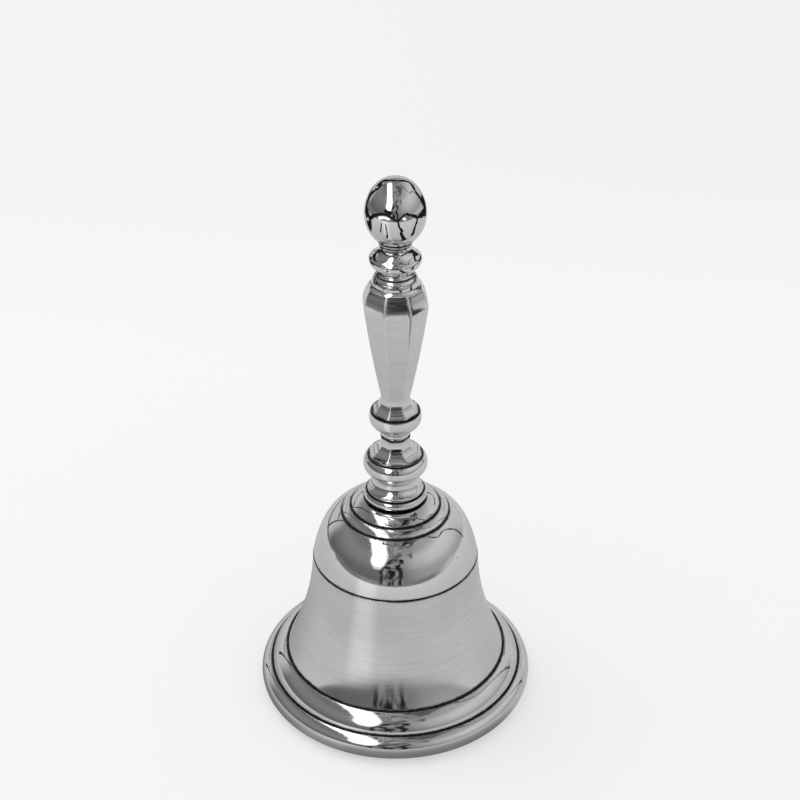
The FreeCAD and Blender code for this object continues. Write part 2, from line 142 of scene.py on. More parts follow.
class Outline:
    """Half a section of a turned piece, drawn with the metal on the left of the direction of travel."""

    def __init__(
        self, radius: float, height: float, *stops: Sequence[float], zone: Zone = Zone.POLISHED
    ) -> None:
        """Starts at a radius and a height, and follows the stops given.

        Args:
            radius: where it starts.
            height: where it starts.
            stops: as path takes them.
            zone: how its legs are finished.
        """
        self.here = np.array([radius, height], dtype=float)
        self.start = self.here.copy()
        self.zone = zone
        self.legs: list[tuple[np.ndarray, Zone]] = []
        self.path(*stops)

    def path(self, *stops: Sequence[float], zone: Zone | None = None) -> "Outline":
        """A straight leg to each radius and height, or an arc where a stop has a third value.

        Args:
            stops: radius, height and, for an arc, how far its middle stands off its chord, positive for a
                convex one.
            zone: how these legs and those after them are finished.

        Returns:
            The outline.
        """
        self.zone = zone or self.zone
        for radius, height, *swell in stops:
            if swell:
                self.curve(radius, height, swell[0])
            else:
                self.leg(np.zeros((2, 2)), radius, height)
        return self

    def leg(self, points: np.ndarray, radius: float, height: float) -> None:
        """Adds a leg whose ends are here and at the radius and height given."""
        there = np.array([radius, height], dtype=float)
        points[0], points[-1] = self.here, there
        self.legs.append((points, self.zone))
        self.here = there

    def curve(self, radius: float, height: float, swell: float) -> None:
        """Adds an arc that stands off its chord by its swell."""
        there = np.array([radius, height], dtype=float)
        chord = there - self.here
        span = float(np.linalg.norm(chord))
        along = chord / span
        outwards = np.array([along[1], -along[0]])
        half_angle = 2.0 * math.atan(2.0 * abs(swell) / span)
        arc_radius = span / 2.0 / math.sin(half_angle)
        count = max(3, math.ceil(2.0 * half_angle / ARC_TURN), math.ceil(span / ARC_LENGTH))
        turns = np.linspace(-half_angle, half_angle, count + 1)
        rise = arc_radius * (np.cos(turns) - math.cos(half_angle)) * math.copysign(1.0, swell)
        run = arc_radius * np.sin(turns)
        middle = (self.here + there) / 2.0
        self.leg(middle + np.outer(run, along) + np.outer(rise, outwards), radius, height)

    def oval(
        self, radius: float, height: float, middle: float, half_width: float, half_height: float
    ) -> "Outline":
        """Part of an upright oval on the axis, up to the point given.

        Args:
            radius: where it ends.
            height: where it ends.
            middle: the height of the oval's centre.
            half_width: half of its width.
            half_height: half of its height.

        Returns:
            The outline.
        """
        first = math.atan2((self.here[1] - middle) / half_height, self.here[0] / half_width)
        last = math.atan2((height - middle) / half_height, radius / half_width)
        count = max(4, math.ceil(abs(last - first) / ARC_TURN))
        turns = np.linspace(first, last, count + 1)
        points = np.column_stack([half_width * np.cos(turns), middle + half_height * np.sin(turns)])
        self.leg(points, radius, height)
        return self

    def section(
        self,
        edge: float = 0.1,
        root: float = 0.03,
        reach: float = 0.28,
        seams: Sequence[tuple[float, float]] = (),
    ) -> Section:
        """The closed section, with its corners rounded and its crevices marked.

        Args:
            edge: how far back each outer corner is rounded.
            root: how far back each inner corner is rounded.
            reach: how far tarnishing and painted shade spread from a crevice.
            seams: points where another piece meets this one, which darken as a crevice does, with tarnishing
                and painted shade.

        Returns:
            The section.
        """
        if np.linalg.norm(self.here - self.start) > SAME_PLACE:
            self.path(self.start)
        count = len(self.legs)
        cuts = np.zeros((count, 2))
        crevices: list[tuple[np.ndarray, float]] = [(np.array(seam), 1.0) for seam in seams]
        for index in range(count):
            before, after = self.legs[index][0], self.legs[(index + 1) % count][0]
            corner = before[-1]
            come, leave = before[-1] - before[-2], after[1] - after[0]
            turn = math.atan2(come[0] * leave[1] - come[1] * leave[0], float(np.dot(come, leave)))
            if abs(turn) <= SHARP_TURN or corner[0] <= AXIS_RADIUS:
                continue
            if turn < 0.0:
                crevices.append((corner, min(1.0, -turn / FULL_TARNISH_AND_SHADE_TURN)))
            longest = LONGEST_ROUNDING * min(distances(before)[-1], distances(after)[-1])
            cuts[index, 1] = cuts[(index + 1) % count, 0] = min(edge if turn > 0.0 else root, longest)
        points: list[np.ndarray] = []
        zones: list[Zone] = []
        for index, (leg, zone) in enumerate(self.legs):
            on_axis = bool(np.all(leg[:, 0] < AXIS_RADIUS))
            run = leg if on_axis else guarded(shortened(leg, *cuts[index]))
            if cuts[index, 1] > 0.0:
                following = self.legs[(index + 1) % count][0]
                last = shortened(following, cuts[(index + 1) % count, 0], 0.0)[0]
                rounding = [
                    (1 - share) ** 2 * run[-1] + 2 * share * (1 - share) * leg[-1] + share**2 * last
                    for share in ROUNDING_SHARES
                ]
                run = [*run, *rounding]
            else:
                run = run[:-1]
            points.extend(run)
            zones.extend([zone] * len(run))
        table = np.array(points)
        # Darker near each crevice and seam: partly tarnishing, partly painted shade.
        dark = np.zeros(len(table))
        for crevice, strength in crevices:
            away = np.linalg.norm(table - crevice, axis=1)
            dark = np.maximum(dark, strength * np.exp(-((away / reach) ** 2)))
        return Section(table, dark, zones)


# ---- Meshes ----


def put_values(mesh: bpy.types.Mesh, name: str, values: np.ndarray) -> None:
    """Stores one number for each vertex under a name."""
    layer = mesh.attributes.new(name, "FLOAT", "POINT")
    layer.data.foreach_set("value", np.asarray(values, dtype=np.float32))


def add_object(name: str, vertices: Sequence[Sequence[float]], faces: Sequence[Sequence[int]]) -> Piece:
    """Puts a mesh of vertices and faces in the scene under a name."""
    mesh = bpy.data.meshes.new(name)
    mesh.from_pydata(vertices, [], faces)
    made = bpy.data.objects.new(name, mesh)
    bpy.context.scene.collection.objects.link(made)
    return made


def turned(
    name: str, section: Section, steps: int | np.ndarray, turning: Turning = Turning.UPRIGHT, pivot: float = 0.0
) -> Piece:
    """Turns a section about its axis into a closed mesh, with one vertex where it meets the axis.

    Args:
        name: the piece's name.
        section: what to turn, in millimetres.
        steps: how many steps go round, or the angle of each.
        turning: the axis it is turned about.
        pivot: the height of the pin's axis, in millimetres, for a piece turned about it.

    Returns:
        The mesh object, with its crevice darkening (tarnishing and painted shade), satin and inside stored for
        each vertex.
    """
    angles = np.arange(steps) * (2.0 * math.pi / steps) if isinstance(steps, int) else steps
    count = len(angles)
    vertices: list[tuple[float, float, float]] = []
    rows: list[list[int]] = []
    source: list[int] = []
    for index, (radius, height) in enumerate(section.points):
        ring = [(radius * math.cos(angle), radius * math.sin(angle), height) for angle in angles]
        if radius < AXIS_RADIUS:
            rows.append([len(vertices)] * count)
            ring = [(0.0, 0.0, height)]
        else:
            rows.append(list(range(len(vertices), len(vertices) + count)))
        vertices.extend(ring)
        source.extend([index] * len(ring))
    faces: list[tuple[int, ...]] = []
    for row, above in zip(rows, rows[1:] + rows[:1]):
        for step in range(count):
            beside = (step + 1) % count
            corners = dict.fromkeys((row[step], row[beside], above[beside], above[step]))
            if len(corners) > 2:
                faces.append(tuple(corners))
    places = np.array(vertices)
    if turning is Turning.ACROSS:
        places = np.column_stack([places[:, 1], places[:, 2], places[:, 0] + pivot])
    made = add_object(name, (places * MM).tolist(), faces)
    made.data.polygons.foreach_set("use_smooth", [True] * len(faces))
    put_values(made.data, "tarnish_and_shade", section.tarnish_and_shade[source])
    for layer, zone in (("satin", Zone.SATIN), ("inside", Zone.INSIDE)):
        put_values(made.data, layer, np.array([found is zone for found in section.zones], dtype=float)[source])
    made.data.update()
    return made


def baked(piece: Piece) -> Piece:
    """Turns a piece's modifiers into its own mesh."""
    graph = bpy.context.evaluated_depsgraph_get()
    mesh, plain = bpy.data.meshes.new_from_object(piece.evaluated_get(graph)), piece.data
    piece.modifiers.clear()
    piece.data = mesh
    bpy.data.meshes.remove(plain)
    mesh.name = piece.name
    return piece


def combined(first: Piece, second: Piece, operation: str) -> Piece:
    """Joins one closed mesh to another, or cuts one with it, and removes the second.

    Args:
        first: the mesh that is kept.
        second: the mesh that is joined on or cut away.
        operation: UNION or DIFFERENCE.

    Returns:
        The first object with its new mesh.
    """
    tool = first.modifiers.new("joined", "BOOLEAN")
    tool.operation, tool.solver, tool.object = operation, "EXACT", second
    baked(first)
    bpy.data.objects.remove(second)
    return first


def drilled(
    piece: Piece,
    radius: float,
    ends: tuple[float, float],
    steps: int,
    turning: Turning = Turning.UPRIGHT,
    pivot: float = 0.0,
) -> Piece:
    """Drills a round hole.

    Args:
        piece: what is drilled.
        radius: the hole's radius.
        ends: where the drill starts and stops along its axis.
        steps: how many steps go round the hole.
        turning: the hole's axis.
        pivot: the height of the pin's axis.

    Returns:
        The drilled piece.
    """
    low, high = ends
    drill = Outline(0.0, low, (radius, low), (radius, high), (0.0, high)).section(edge=0.01)
    return combined(piece, turned("drill", drill, steps, turning, pivot), "DIFFERENCE")


def grey(level: float) -> tuple[float, float, float, float]:
    """A grey colour."""
    return (level, level, level, 1.0)


class Tree:
    """Adds nodes and links to one node tree."""

    def __init__(self, tree: bpy.types.NodeTree) -> None:
        """Starts on an empty tree."""
        self.tree = tree
        tree.nodes.clear()

    def add(self, kind: str, inputs: dict[Any, Any] | None = None, **settings: Any) -> bpy.types.Node:
        """Adds a node.

        Args:
            kind: the node's type.
            inputs: what each input, by name or number, is set to or linked from.
            settings: the node's own options.

        Returns:
            The node.
        """
        node = self.tree.nodes.new(kind)
        for option, value in settings.items():
            setattr(node, option, value)
        for key, value in (inputs or {}).items():
            if isinstance(value, Socket):
                self.tree.links.new(value, node.inputs[key])
            else:
                node.inputs[key].default_value = value
        return node

    def math(self, operation: str, *values: Any) -> Socket:
        """A sum on numbers or sockets."""
        return self.add("ShaderNodeMath", dict(enumerate(values)), operation=operation).outputs[0]

    def sum_of(self, start: Any, *terms: tuple[Any, Any]) -> Socket:
        """A start with products added to it, one after the other."""
        for first, second in terms:
            start = self.math("MULTIPLY_ADD", first, second, start)
        return start

    def vector(self, operation: str, *values: Any) -> bpy.types.Node:
        """A sum on directions or places."""
        return self.add("ShaderNodeVectorMath", dict(enumerate(values)), operation=operation)

    def apart(self, vector: Socket) -> bpy.types.NodeOutputs:
        """The three parts of a vector or a colour."""
        return self.add("ShaderNodeSeparateXYZ", {0: vector}).outputs

    def where(self) -> Socket:
        """The place on the piece."""
        return self.add("ShaderNodeTexCoord").outputs["Object"]

    def stored(self, name: str) -> Socket:
        """A number that the piece's vertices store."""
        return self.add("ShaderNodeAttribute", attribute_name=name).outputs["Fac"]

    def ranged(
        self, value: Any, low: float, high: float, least: float = 0.0, most: float = 1.0, soft: bool = False
    ) -> Socket:
        """A value spread over a new range, and held to it.

        Args:
            value: the value.
            low: the value that gives the least result.
            high: the value that gives the most.
            least: the least result.
            most: the most.
            soft: whether it eases in and out.

        Returns:
            The result's socket.
        """
        limits = {"Value": value, "From Min": low, "From Max": high, "To Min": least, "To Max": most}
        kind = "SMOOTHSTEP" if soft else "LINEAR"
        return self.add("ShaderNodeMapRange", limits, interpolation_type=kind).outputs[0]

    def noise(self, where: Socket, scale: float, detail: float) -> Socket:
        """An even noise over the piece, from 0 to 1."""
        return self.add("ShaderNodeTexNoise", {"Vector": where, "Scale": scale, "Detail": detail}).outputs[0]

    def mix(self, factor: Any, first: Any, second: Any, blend: str = "MIX") -> Socket:
        """A blend of two colours."""
        inputs = {0: factor, 6: first, 7: second}
        return self.add("ShaderNodeMix", inputs, data_type="RGBA", blend_type=blend).outputs[2]

    def greys(self, value: Any, levels: Sequence[tuple[float, float]]) -> Socket:
        """A grey that follows a value.

        Args:
            value: what it follows, from 0 to 1.
            levels: pairs of a value and the grey there.

        Returns:
            The colour's socket.
        """
        ramp = self.add("ShaderNodeValToRGB", {0: value})
        stops = ramp.color_ramp.elements
        stops[0].position, stops[1].position = levels[0][0], levels[-1][0]
        stops[0].color, stops[1].color = grey(levels[0][1]), grey(levels[-1][1])
        for position, level in levels[1:-1]:
            stops.new(position).color = grey(level)
        return ramp.outputs[0]

    def glow(self, colour: Any, strength: Any = 1.0) -> Socket:
        """A glowing surface."""
        return self.add("ShaderNodeEmission", {"Color": colour, "Strength": strength}).outputs[0]

    def either(self, factor: Socket, first: Any, second: Any) -> Socket:
        """One surface, or another where the factor is 1."""
        return self.add("ShaderNodeMixShader", {0: factor, 1: first, 2: second}).outputs[0]

    def show(self, surface: Socket, kind: str = "ShaderNodeOutputMaterial") -> None:
        """Makes a surface the tree's result."""
        self.add(kind, {"Surface": surface})


def new_material(name: str) -> tuple[Material, Tree]:
    """An empty material and its tree."""
    made = bpy.data.materials.new(name)
    made.use_nodes = True
    return made, Tree(made.node_tree)


def facet_tree() -> bpy.types.NodeTree:
    """The node group that gives a turned blank its flats.

    Each vertex stands at the smaller of its turned radius and its place on the nearest flat. Ridge Power
    sets how sharp the ridges between flats are.

    Returns:
        The node group.
    """
    group = bpy.data.node_groups.new("cut_flats", "GeometryNodeTree")
    panel = group.interface
    inputs = {"Geometry": "Geometry", "Flats": "Int", "Ridge Power": "Float", "Metal": "Material"}
    for label, kind in inputs.items():
        panel.new_socket(label, in_out="INPUT", socket_type="NodeSocket" + kind)
    panel.new_socket("Geometry", in_out="OUTPUT", socket_type="NodeSocketGeometry")
    tree = Tree(group)
    given = tree.add("NodeGroupInput").outputs
    place = tree.apart(tree.add("GeometryNodeInputPosition").outputs[0])
    flat, limit = (
        tree.add("GeometryNodeInputNamedAttribute", {"Name": layer}, data_type="FLOAT").outputs[0]
        for layer in ("flat_radius", "turned_radius")
    )
    angle = tree.math("ARCTAN2", place["Y"], place["X"])
    step = tree.math("DIVIDE", 2.0 * math.pi, given["Flats"])
    half = tree.math("MULTIPLY", step, 0.5)
    off = tree.math("ABSOLUTE", tree.math("WRAP", angle, half, tree.math("MULTIPLY", half, -1.0)))
    power = given["Ridge Power"]
    near = tree.math("POWER", tree.math("COSINE", off), power)
    far = tree.math("POWER", tree.math("COSINE", tree.math("SUBTRACT", step, off)), power)
    blend = tree.math("POWER", tree.math("ADD", near, far), tree.math("DIVIDE", 1.0, power))
    radius = tree.math("MINIMUM", limit, tree.math("DIVIDE", flat, blend))
    across = tree.math("MULTIPLY", tree.math("COSINE", angle), radius)
    along = tree.math("MULTIPLY", tree.math("SINE", angle), radius)
    moved = tree.add("ShaderNodeCombineXYZ", {0: across, 1: along, 2: place["Z"]}).outputs[0]
    shaped = tree.add("GeometryNodeSetPosition", {"Geometry": given["Geometry"], "Position": moved}).outputs[0]
    real = tree.add("GeometryNodeRealizeInstances", {0: shaped}).outputs[0]
    dressed = tree.add("GeometryNodeSetMaterial", {0: real, "Material": given["Metal"]}).outputs[0]
    tree.add("NodeGroupOutput", {0: dressed})
    return group


@dataclass
class Facetted:
    """A blank whose sides are cut to flats, limited by a turned outline.

    Attributes:
        flats: how many sides it has.
        ridge_power: how sharp the ridges between them are.
        steps: mesh steps across each flat, closest together at the ridges.
        ridge_wear: how far wear reaches from a ridge, as an angle.
        thinnest: the closest that two of its rows stand, in millimetres.
        thickest: the furthest apart that they stand.
        fill: how far apart rows are put in a wider gap.
    """

    flats: int = 8
    ridge_power: float = 55.0
    steps: int = 16
    ridge_wear: float = 0.035
    thinnest: float = 0.03
    thickest: float = 0.5
    fill: float = 0.35

    def rows(self, flats: Outline, limit: Outline) -> np.ndarray:
        """The levels that the piece's mesh has.

        Args:
            flats: where the flats stand, drawn from the base up.
            limit: the turned outline that they are limited by, drawn from the base up.

        Returns:
            Rows of height, distance to the flats and turned limit.
        """
        runs = [np.vstack([leg for leg, _ in outline.legs]) for outline in (flats, limit)]
        heights = sorted({round(float(z), 4) for run in runs for z in run[:, 1]})
        low, high = max(run[0, 1] for run in runs), min(run[-1, 1] for run in runs)
        inside = [z for z in heights if low <= z <= high]
        clear = [inside[0]]
        for height in inside[1:]:
            while height - clear[-1] > self.thickest:
                clear.append(clear[-1] + self.fill)
            if height - clear[-1] > self.thinnest:
                clear.append(height)
        clear[-1] = inside[-1]
        return np.column_stack([clear, *(np.interp(clear, run[:, 1], run[:, 0]) for run in runs)])

    def build(
        self,
        name: str,
        flats: Outline,
        limit: Outline,
        bore: float,
        seams: Sequence[tuple[float, float, float]],
        metal: Material,
    ) -> Piece:
        """Makes the piece.

        Args:
            name: the piece's name.
            flats: where the flats stand.
            limit: the turned outline that they are limited by. Its zone is the piece's.
            bore: the radius of the hole along its axis.
            seams: the height of each crevice, how far tarnishing and painted shade spread from it and how dark
                it is.
            metal: its material.

        Returns:
            The mesh object, with no modifier left on it.
        """
        rows = self.rows(flats, limit)
        # Darker near each crevice: partly tarnishing, partly painted shade.
        dark = np.zeros(len(rows))
        for height, reach, strength in seams:
            dark = np.maximum(dark, strength * np.exp(-(((rows[:, 0] - height) / reach) ** 2)))
        round_only = 10.0 * float(rows[:, 1].max())
        rows = np.vstack([rows, [[rows[-1, 0], round_only, bore], [rows[0, 0], round_only, bore]]])
        points = np.column_stack([np.minimum(rows[:, 1], rows[:, 2]), rows[:, 0]])
        half = math.pi / self.flats
        within = np.sin((np.arange(self.steps) / self.steps * 2.0 - 1.0) * math.pi / 2.0) * half
        angles = np.concatenate([within + 2.0 * half * side for side in range(self.flats)])
        section = Section(points, np.concatenate([dark, [1.0, 1.0]]), [limit.zone] * len(points))
        piece = turned(name, section, angles)
        off_ridge = (angles + half) % (2.0 * half)
        off_ridge = np.minimum(off_ridge, 2.0 * half - off_ridge)
        put_values(piece.data, "ridge", np.tile(np.exp(-((off_ridge / self.ridge_wear) ** 2)), len(rows)))
        put_values(piece.data, "flat_radius", np.repeat(rows[:, 1], len(angles)) * MM)
        put_values(piece.data, "turned_radius", np.repeat(rows[:, 2], len(angles)) * MM)
        cut = piece.modifiers.new("cut_flats", "NODES")
        cut.node_group = facet_tree()
        chosen = {"Flats": self.flats, "Ridge Power": self.ridge_power, "Metal": metal}
        for socket in cut.node_group.interface.items_tree:
            if socket.in_out == "INPUT" and socket.name in chosen:
                cut[socket.identifier] = chosen[socket.name]
        baked(piece)
        for layer in ("flat_radius", "turned_radius"):
            piece.data.attributes.remove(piece.data.attributes[layer])
        return piece


# ---- Finishes ----

# The crevice darkening set below, with its noise and its range, is partly tarnishing and partly painted shade.
PATCH_SCALE, GRIME_AND_SHADE_SCALE, CAST_SCALE, PIT_SCALE = 75.0, 900.0, 1300.0, 420.0
PATCHES, STREAKS, SCRATCHES, DIRT_AND_SHADE, DOTS = (0.42, 0.68), (0.45, 0.70), (0.69, 0.74), (0.25, 0.75), (0.075, 0.045)
CLEAN_CREVICE, PIT_DARK, PIT_RARITY = 0.55, 0.75, 0.90
SATIN_RAGGED, SATIN_BELOW, SATIN_ABOVE = 0.002, 0.001, 0.004
GRAIN_LENGTH, GRAIN_PITCH = 70.0, 5200.0
STREAK_LENGTH, STREAK_PITCH, STREAK_DARK, STREAK_ROUGH = 60.0, 1500.0, 0.22, 0.04
SCRATCH_WAYS = (((0.4, 0.2, 0.5), (120.0, 9000.0, 2500.0)), ((-0.5, 0.7, -0.3), (7000.0, 150.0, 3000.0)))
INSIDE_ROUGH, SCRATCH_ROUGH, DARK_ROUGH, RIDGE_ROUGH, LEAST_ROUGH = 0.28, 0.10, 0.4, 0.30, 0.03
POLISHED_GRAIN, SATIN_GRAIN = 0.35, 1.6
RIPPLE_RATIO, SCRATCH_CUT, PIT_CUT, CAST_RELIEF, SCAR_DEPTH = 6.0, -0.2, -1.0, 1.5, 1.5e-5


@dataclass(frozen=True)
class Metal:
    """A metal's colour and the marks of its making and its use.

    Attributes:
        name: the material's name.
        slot: the record's material slot; not used.
        tone: its clean colour.
        tint: the colour it drifts to in patches.
        tarnish_and_shade_tone: its colour in crevices, where tarnishing and painted shade darken it.
        inside_tone: its colour where it was left as cast.
        streak_tone: its colour in the streaks that run round the satin.
        roughness: of a clean polished face.
        satin_roughness: where it was left satin.
        satin_from: the height below which satin is polished after all, in metres.
        patchiness: how much the roughness drifts from place to place.
        grain_depth: how deep the fine polishing marks are, in metres.
        wave_depth: how uneven the polished face is, in metres.
        wave_scale: how many waves there are to a metre.
        ripples: how strong the finer waves are beside the broad ones.
        wear: how many hairline scratches show, from 0 to 1.
    """

    name: str
    slot: str
    tone: tuple[float, float, float] = (0.875, 0.873, 0.870)
    tint: tuple[float, float, float] = (0.79, 0.786, 0.78)
    tarnish_and_shade_tone: tuple[float, float, float] = (0.035, 0.032, 0.030)
    inside_tone: tuple[float, float, float] = (0.42, 0.40, 0.37)
    streak_tone: tuple[float, float, float] = (0.62, 0.618, 0.612)
    roughness: float = 0.07
    satin_roughness: float = 0.16
    satin_from: float = -1.0
    patchiness: float = 0.05
    grain_depth: float = 1.2e-6
    wave_depth: float = 1.4e-5
    wave_scale: float = 160.0
    ripples: float = 0.10
    wear: float = 0.5

    def material(self) -> Material:
        """Builds the material.

        Returns:
            A node material that reads Object coordinates and the pieces' own values.
        """
        made, tree = new_material(self.name)
        where = tree.where()
        tarnish_and_shade, satin, inside, ridge = (tree.stored(name) for name in ("tarnish_and_shade", "satin", "inside", "ridge"))
        patches = tree.noise(where, PATCH_SCALE, 4.0)
        ragged = tree.math("MULTIPLY_ADD", patches, SATIN_RAGGED, tree.apart(where)[2])
        limits = (self.satin_from - SATIN_BELOW, self.satin_from + SATIN_ABOVE)
        satin = tree.math("MULTIPLY", satin, tree.ranged(ragged, *limits, soft=True))
        hairlines, pits = self.hairlines(tree, where), self.pits(tree, where)
        streaks = tree.math("MULTIPLY", self.streaks(tree, where), satin)
        # Crevices darken, partly from tarnishing, partly as painted shade; the noise breaks it up, and pits add
        # dark dots.
        grime_and_shade = tree.math("ADD", CLEAN_CREVICE, tree.noise(where, GRIME_AND_SHADE_SCALE, 3.0))
        dark = tree.ranged(tree.math("MULTIPLY", tarnish_and_shade, grime_and_shade), *DIRT_AND_SHADE)
        dark = tree.math("MINIMUM", tree.math("ADD", dark, tree.math("MULTIPLY", pits, PIT_DARK)), 1.0)
        colour = tree.mix(tree.ranged(patches, *PATCHES), (*self.tone, 1.0), (*self.tint, 1.0))
        colour = tree.mix(inside, colour, (*self.inside_tone, 1.0))
        colour = tree.mix(tree.math("MULTIPLY", streaks, STREAK_DARK), colour, (*self.streak_tone, 1.0))
        colour = tree.mix(dark, colour, (*self.tarnish_and_shade_tone, 1.0))
        rough = tree.sum_of(
            self.roughness,
            (satin, self.satin_roughness - self.roughness),
            (inside, INSIDE_ROUGH),
            (tree.math("SUBTRACT", patches, 0.5), self.patchiness * 2.0),
            (streaks, STREAK_ROUGH),
            (hairlines, SCRATCH_ROUGH * self.wear),
            (dark, DARK_ROUGH),
            (ridge, RIDGE_ROUGH),
        )
        rough = tree.math("MAXIMUM", rough, LEAST_ROUGH)
        normal = self.relief(tree, where, hairlines, pits, satin, inside)
        inputs = {"Base Color": colour, "Metallic": 1.0, "Roughness": rough, "Normal": normal}
        tree.show(tree.add("ShaderNodeBsdfPrincipled", inputs).outputs[0])
        return made

    @staticmethod
    def grain(tree: Tree, where: Socket) -> Socket:
        """The fine marks that polishing left round the axis, from 0 to 1."""
        across, along, _ = tree.apart(where)
        squares = tree.math("ADD", tree.math("MULTIPLY", across, across), tree.math("MULTIPLY", along, along))
        rings = tree.math("MULTIPLY", tree.math("SQRT", squares), GRAIN_PITCH)
        scale = (GRAIN_LENGTH, GRAIN_LENGTH, GRAIN_PITCH)
        stretched = tree.add("ShaderNodeMapping", {"Vector": where, "Scale": scale}).outputs[0]
        inputs = {"Vector": stretched, "W": rings, "Scale": 1.0, "Detail": 3.0}
        return tree.add("ShaderNodeTexNoise", inputs, noise_dimensions="4D").outputs[0]

    @staticmethod
    def streaks(tree: Tree, where: Socket) -> Socket:
        """The broad uneven streaks that run round the axis, from 0 to 1."""
        scale = (STREAK_LENGTH, STREAK_LENGTH, STREAK_PITCH)
        stretched = tree.add("ShaderNodeMapping", {"Vector": where, "Scale": scale}).outputs[0]
        return tree.ranged(tree.noise(stretched, 1.0, 3.0), *STREAKS)

    @staticmethod
    def hairlines(tree: Tree, where: Socket) -> Socket:
        """Sparse fine scratches in two directions: 1 in a scratch and 0 elsewhere."""
        found = []
        for turn, scale in SCRATCH_WAYS:
            inputs = {"Vector": where, "Rotation": turn, "Scale": scale}
            stretched = tree.add("ShaderNodeMapping", inputs).outputs[0]
            found.append(tree.ranged(tree.noise(stretched, 1.0, 1.0), *SCRATCHES))
        return tree.math("MAXIMUM", *found)

    @staticmethod
    def pits(tree: Tree, where: Socket) -> Socket:
        """Rare tiny pits: 1 in a pit and 0 elsewhere."""
        cells = tree.add("ShaderNodeTexVoronoi", {"Vector": where, "Scale": PIT_SCALE}).outputs
        chosen = tree.math("GREATER_THAN", tree.apart(cells["Color"])[0], PIT_RARITY)
        return tree.math("MULTIPLY", tree.ranged(cells["Distance"], *DOTS), chosen)

    def relief(
        self,
        tree: Tree,
        where: Socket,
        hairlines: Socket,
        pits: Socket,
        satin: Socket,
        inside: Socket,
    ) -> Socket:
        """Bumps for the waves of hand polishing, the grain, the scratches and the pits.

        Args:
            tree: the material's nodes.
            where: the place on the piece.
            hairlines: the scratches.
            pits: the pits.
            satin: 1 where the face is satin.
            inside: 1 where it was left as cast.

        Returns:
            The bumped normal's socket.
        """
        waves = tree.noise(where, self.wave_scale, 1.5)
        ripples = tree.noise(where, self.wave_scale * RIPPLE_RATIO, 2.0)
        uneven = tree.math("MULTIPLY_ADD", ripples, self.ripples, waves)
        deep = tree.math("MULTIPLY_ADD", satin, SATIN_GRAIN, POLISHED_GRAIN)
        marks = tree.math("MULTIPLY", self.grain(tree, where), deep)
        cast = tree.math("MULTIPLY", tree.noise(where, CAST_SCALE, 4.0), inside)
        pitted = tree.math("MULTIPLY", pits, PIT_CUT)
        cut = tree.sum_of(pitted, (hairlines, SCRATCH_CUT * self.wear), (cast, CAST_RELIEF))
        normal = None
        for depth, height in ((self.wave_depth, uneven), (self.grain_depth, marks), (SCAR_DEPTH, cut)):
            inputs = {"Strength": 1.0, "Distance": depth, "Height": height}
            if normal is not None:
                inputs["Normal"] = normal
            normal = tree.add("ShaderNodeBump", inputs).outputs[0]
        return normal


class Finish(Enum):
    """The bell's metals, which its pieces share."""

    SHELL = Metal("shell_silver_polished", "shell_silver", roughness=0.06, wave_depth=1.8e-5, satin_from=0.0118)
    HANDLE = Metal(
        "handle_silver_polished", "handle_silver", roughness=0.055, wave_depth=6.0e-6, wave_scale=260.0
    )
    GRIP = Metal(
        "grip_silver_satin",
        "grip_silver",
        roughness=0.13,
        satin_roughness=0.13,
        grain_depth=1.6e-6,
        wave_depth=8.0e-6,
        wave_scale=220.0,
    )
    FINIAL = Metal(
        "finial_silver_polished", "finial_silver", roughness=0.045, wave_depth=5.0e-6, wave_scale=300.0
    )
    BRASS = Metal(
        "bare_brass_turned",
        "bare_brass",
        tone=(0.80, 0.60, 0.30),
        tint=(0.62, 0.43, 0.19),
        tarnish_and_shade_tone=(0.10, 0.06, 0.03),
        roughness=0.22,
        grain_depth=2.0e-6,
    )
    CLAPPER = Metal(
        "clapper_brass_polished",
        "clapper_brass",
        tone=(0.82, 0.62, 0.32),
        tint=(0.66, 0.46, 0.21),
        tarnish_and_shade_tone=(0.10, 0.06, 0.03),
        roughness=0.12,
    )
    STEEL = Metal(
        "plain_steel_turned",
        "steel",
        tone=(0.56, 0.57, 0.58),
        tint=(0.42, 0.41, 0.40),
        tarnish_and_shade_tone=(0.07, 0.05, 0.04),
        roughness=0.24,
        grain_depth=2.5e-6,
    )


# ---- Sub-assemblies ----


def span_of(node: str, axis: int = 2) -> tuple[float, float]:
    """The lowest and highest places of a CAD node along an axis, in millimetres."""
    low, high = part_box(node)
    return low[axis] / MM, high[axis] / MM


@dataclass
class Assembly:
    """Pieces that are made together.

    Attributes:
        metals: the made materials.
        bore: the radius of the hole through the pieces of the handle.
        rod: the radius of the rod that fills it.
        journal: the radius of the rod's lower end.
        segments: how many steps go round a turned piece.
    """

    metals: dict[Finish, Material]
    bore: float = 1.55
    rod: float = 1.5
    journal: float = 1.0
    segments: int = 144

    def fit(self, piece: Piece, node: str, finish: Finish) -> None:
        """Dresses a finished piece and ties it to the frame.

        Args:
            piece: the finished piece.
            node: the CAD node that it stands for.
            finish: its metal.
        """
        body = MOVING.get(node, "bell")
        piece.data.materials.clear()
        piece.data.materials.append(self.metals[finish])
        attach(piece, body)
        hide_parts(node)
        LOG.info("%s: %d faces, on %s, for %s", piece.name, len(piece.data.polygons), body, node)

    def turn(self, node: str, outline: Outline, finish: Finish = Finish.HANDLE, **rounding: Any) -> None:
        """Turns an outline about the bell's axis and fits the piece.

        Args:
            node: the CAD node that it stands for.
            outline: its outline.
            finish: its metal.
            rounding: what Outline.section takes.
        """
        self.fit(turned(node + "_turned", outline.section(**rounding), self.segments), node, finish)


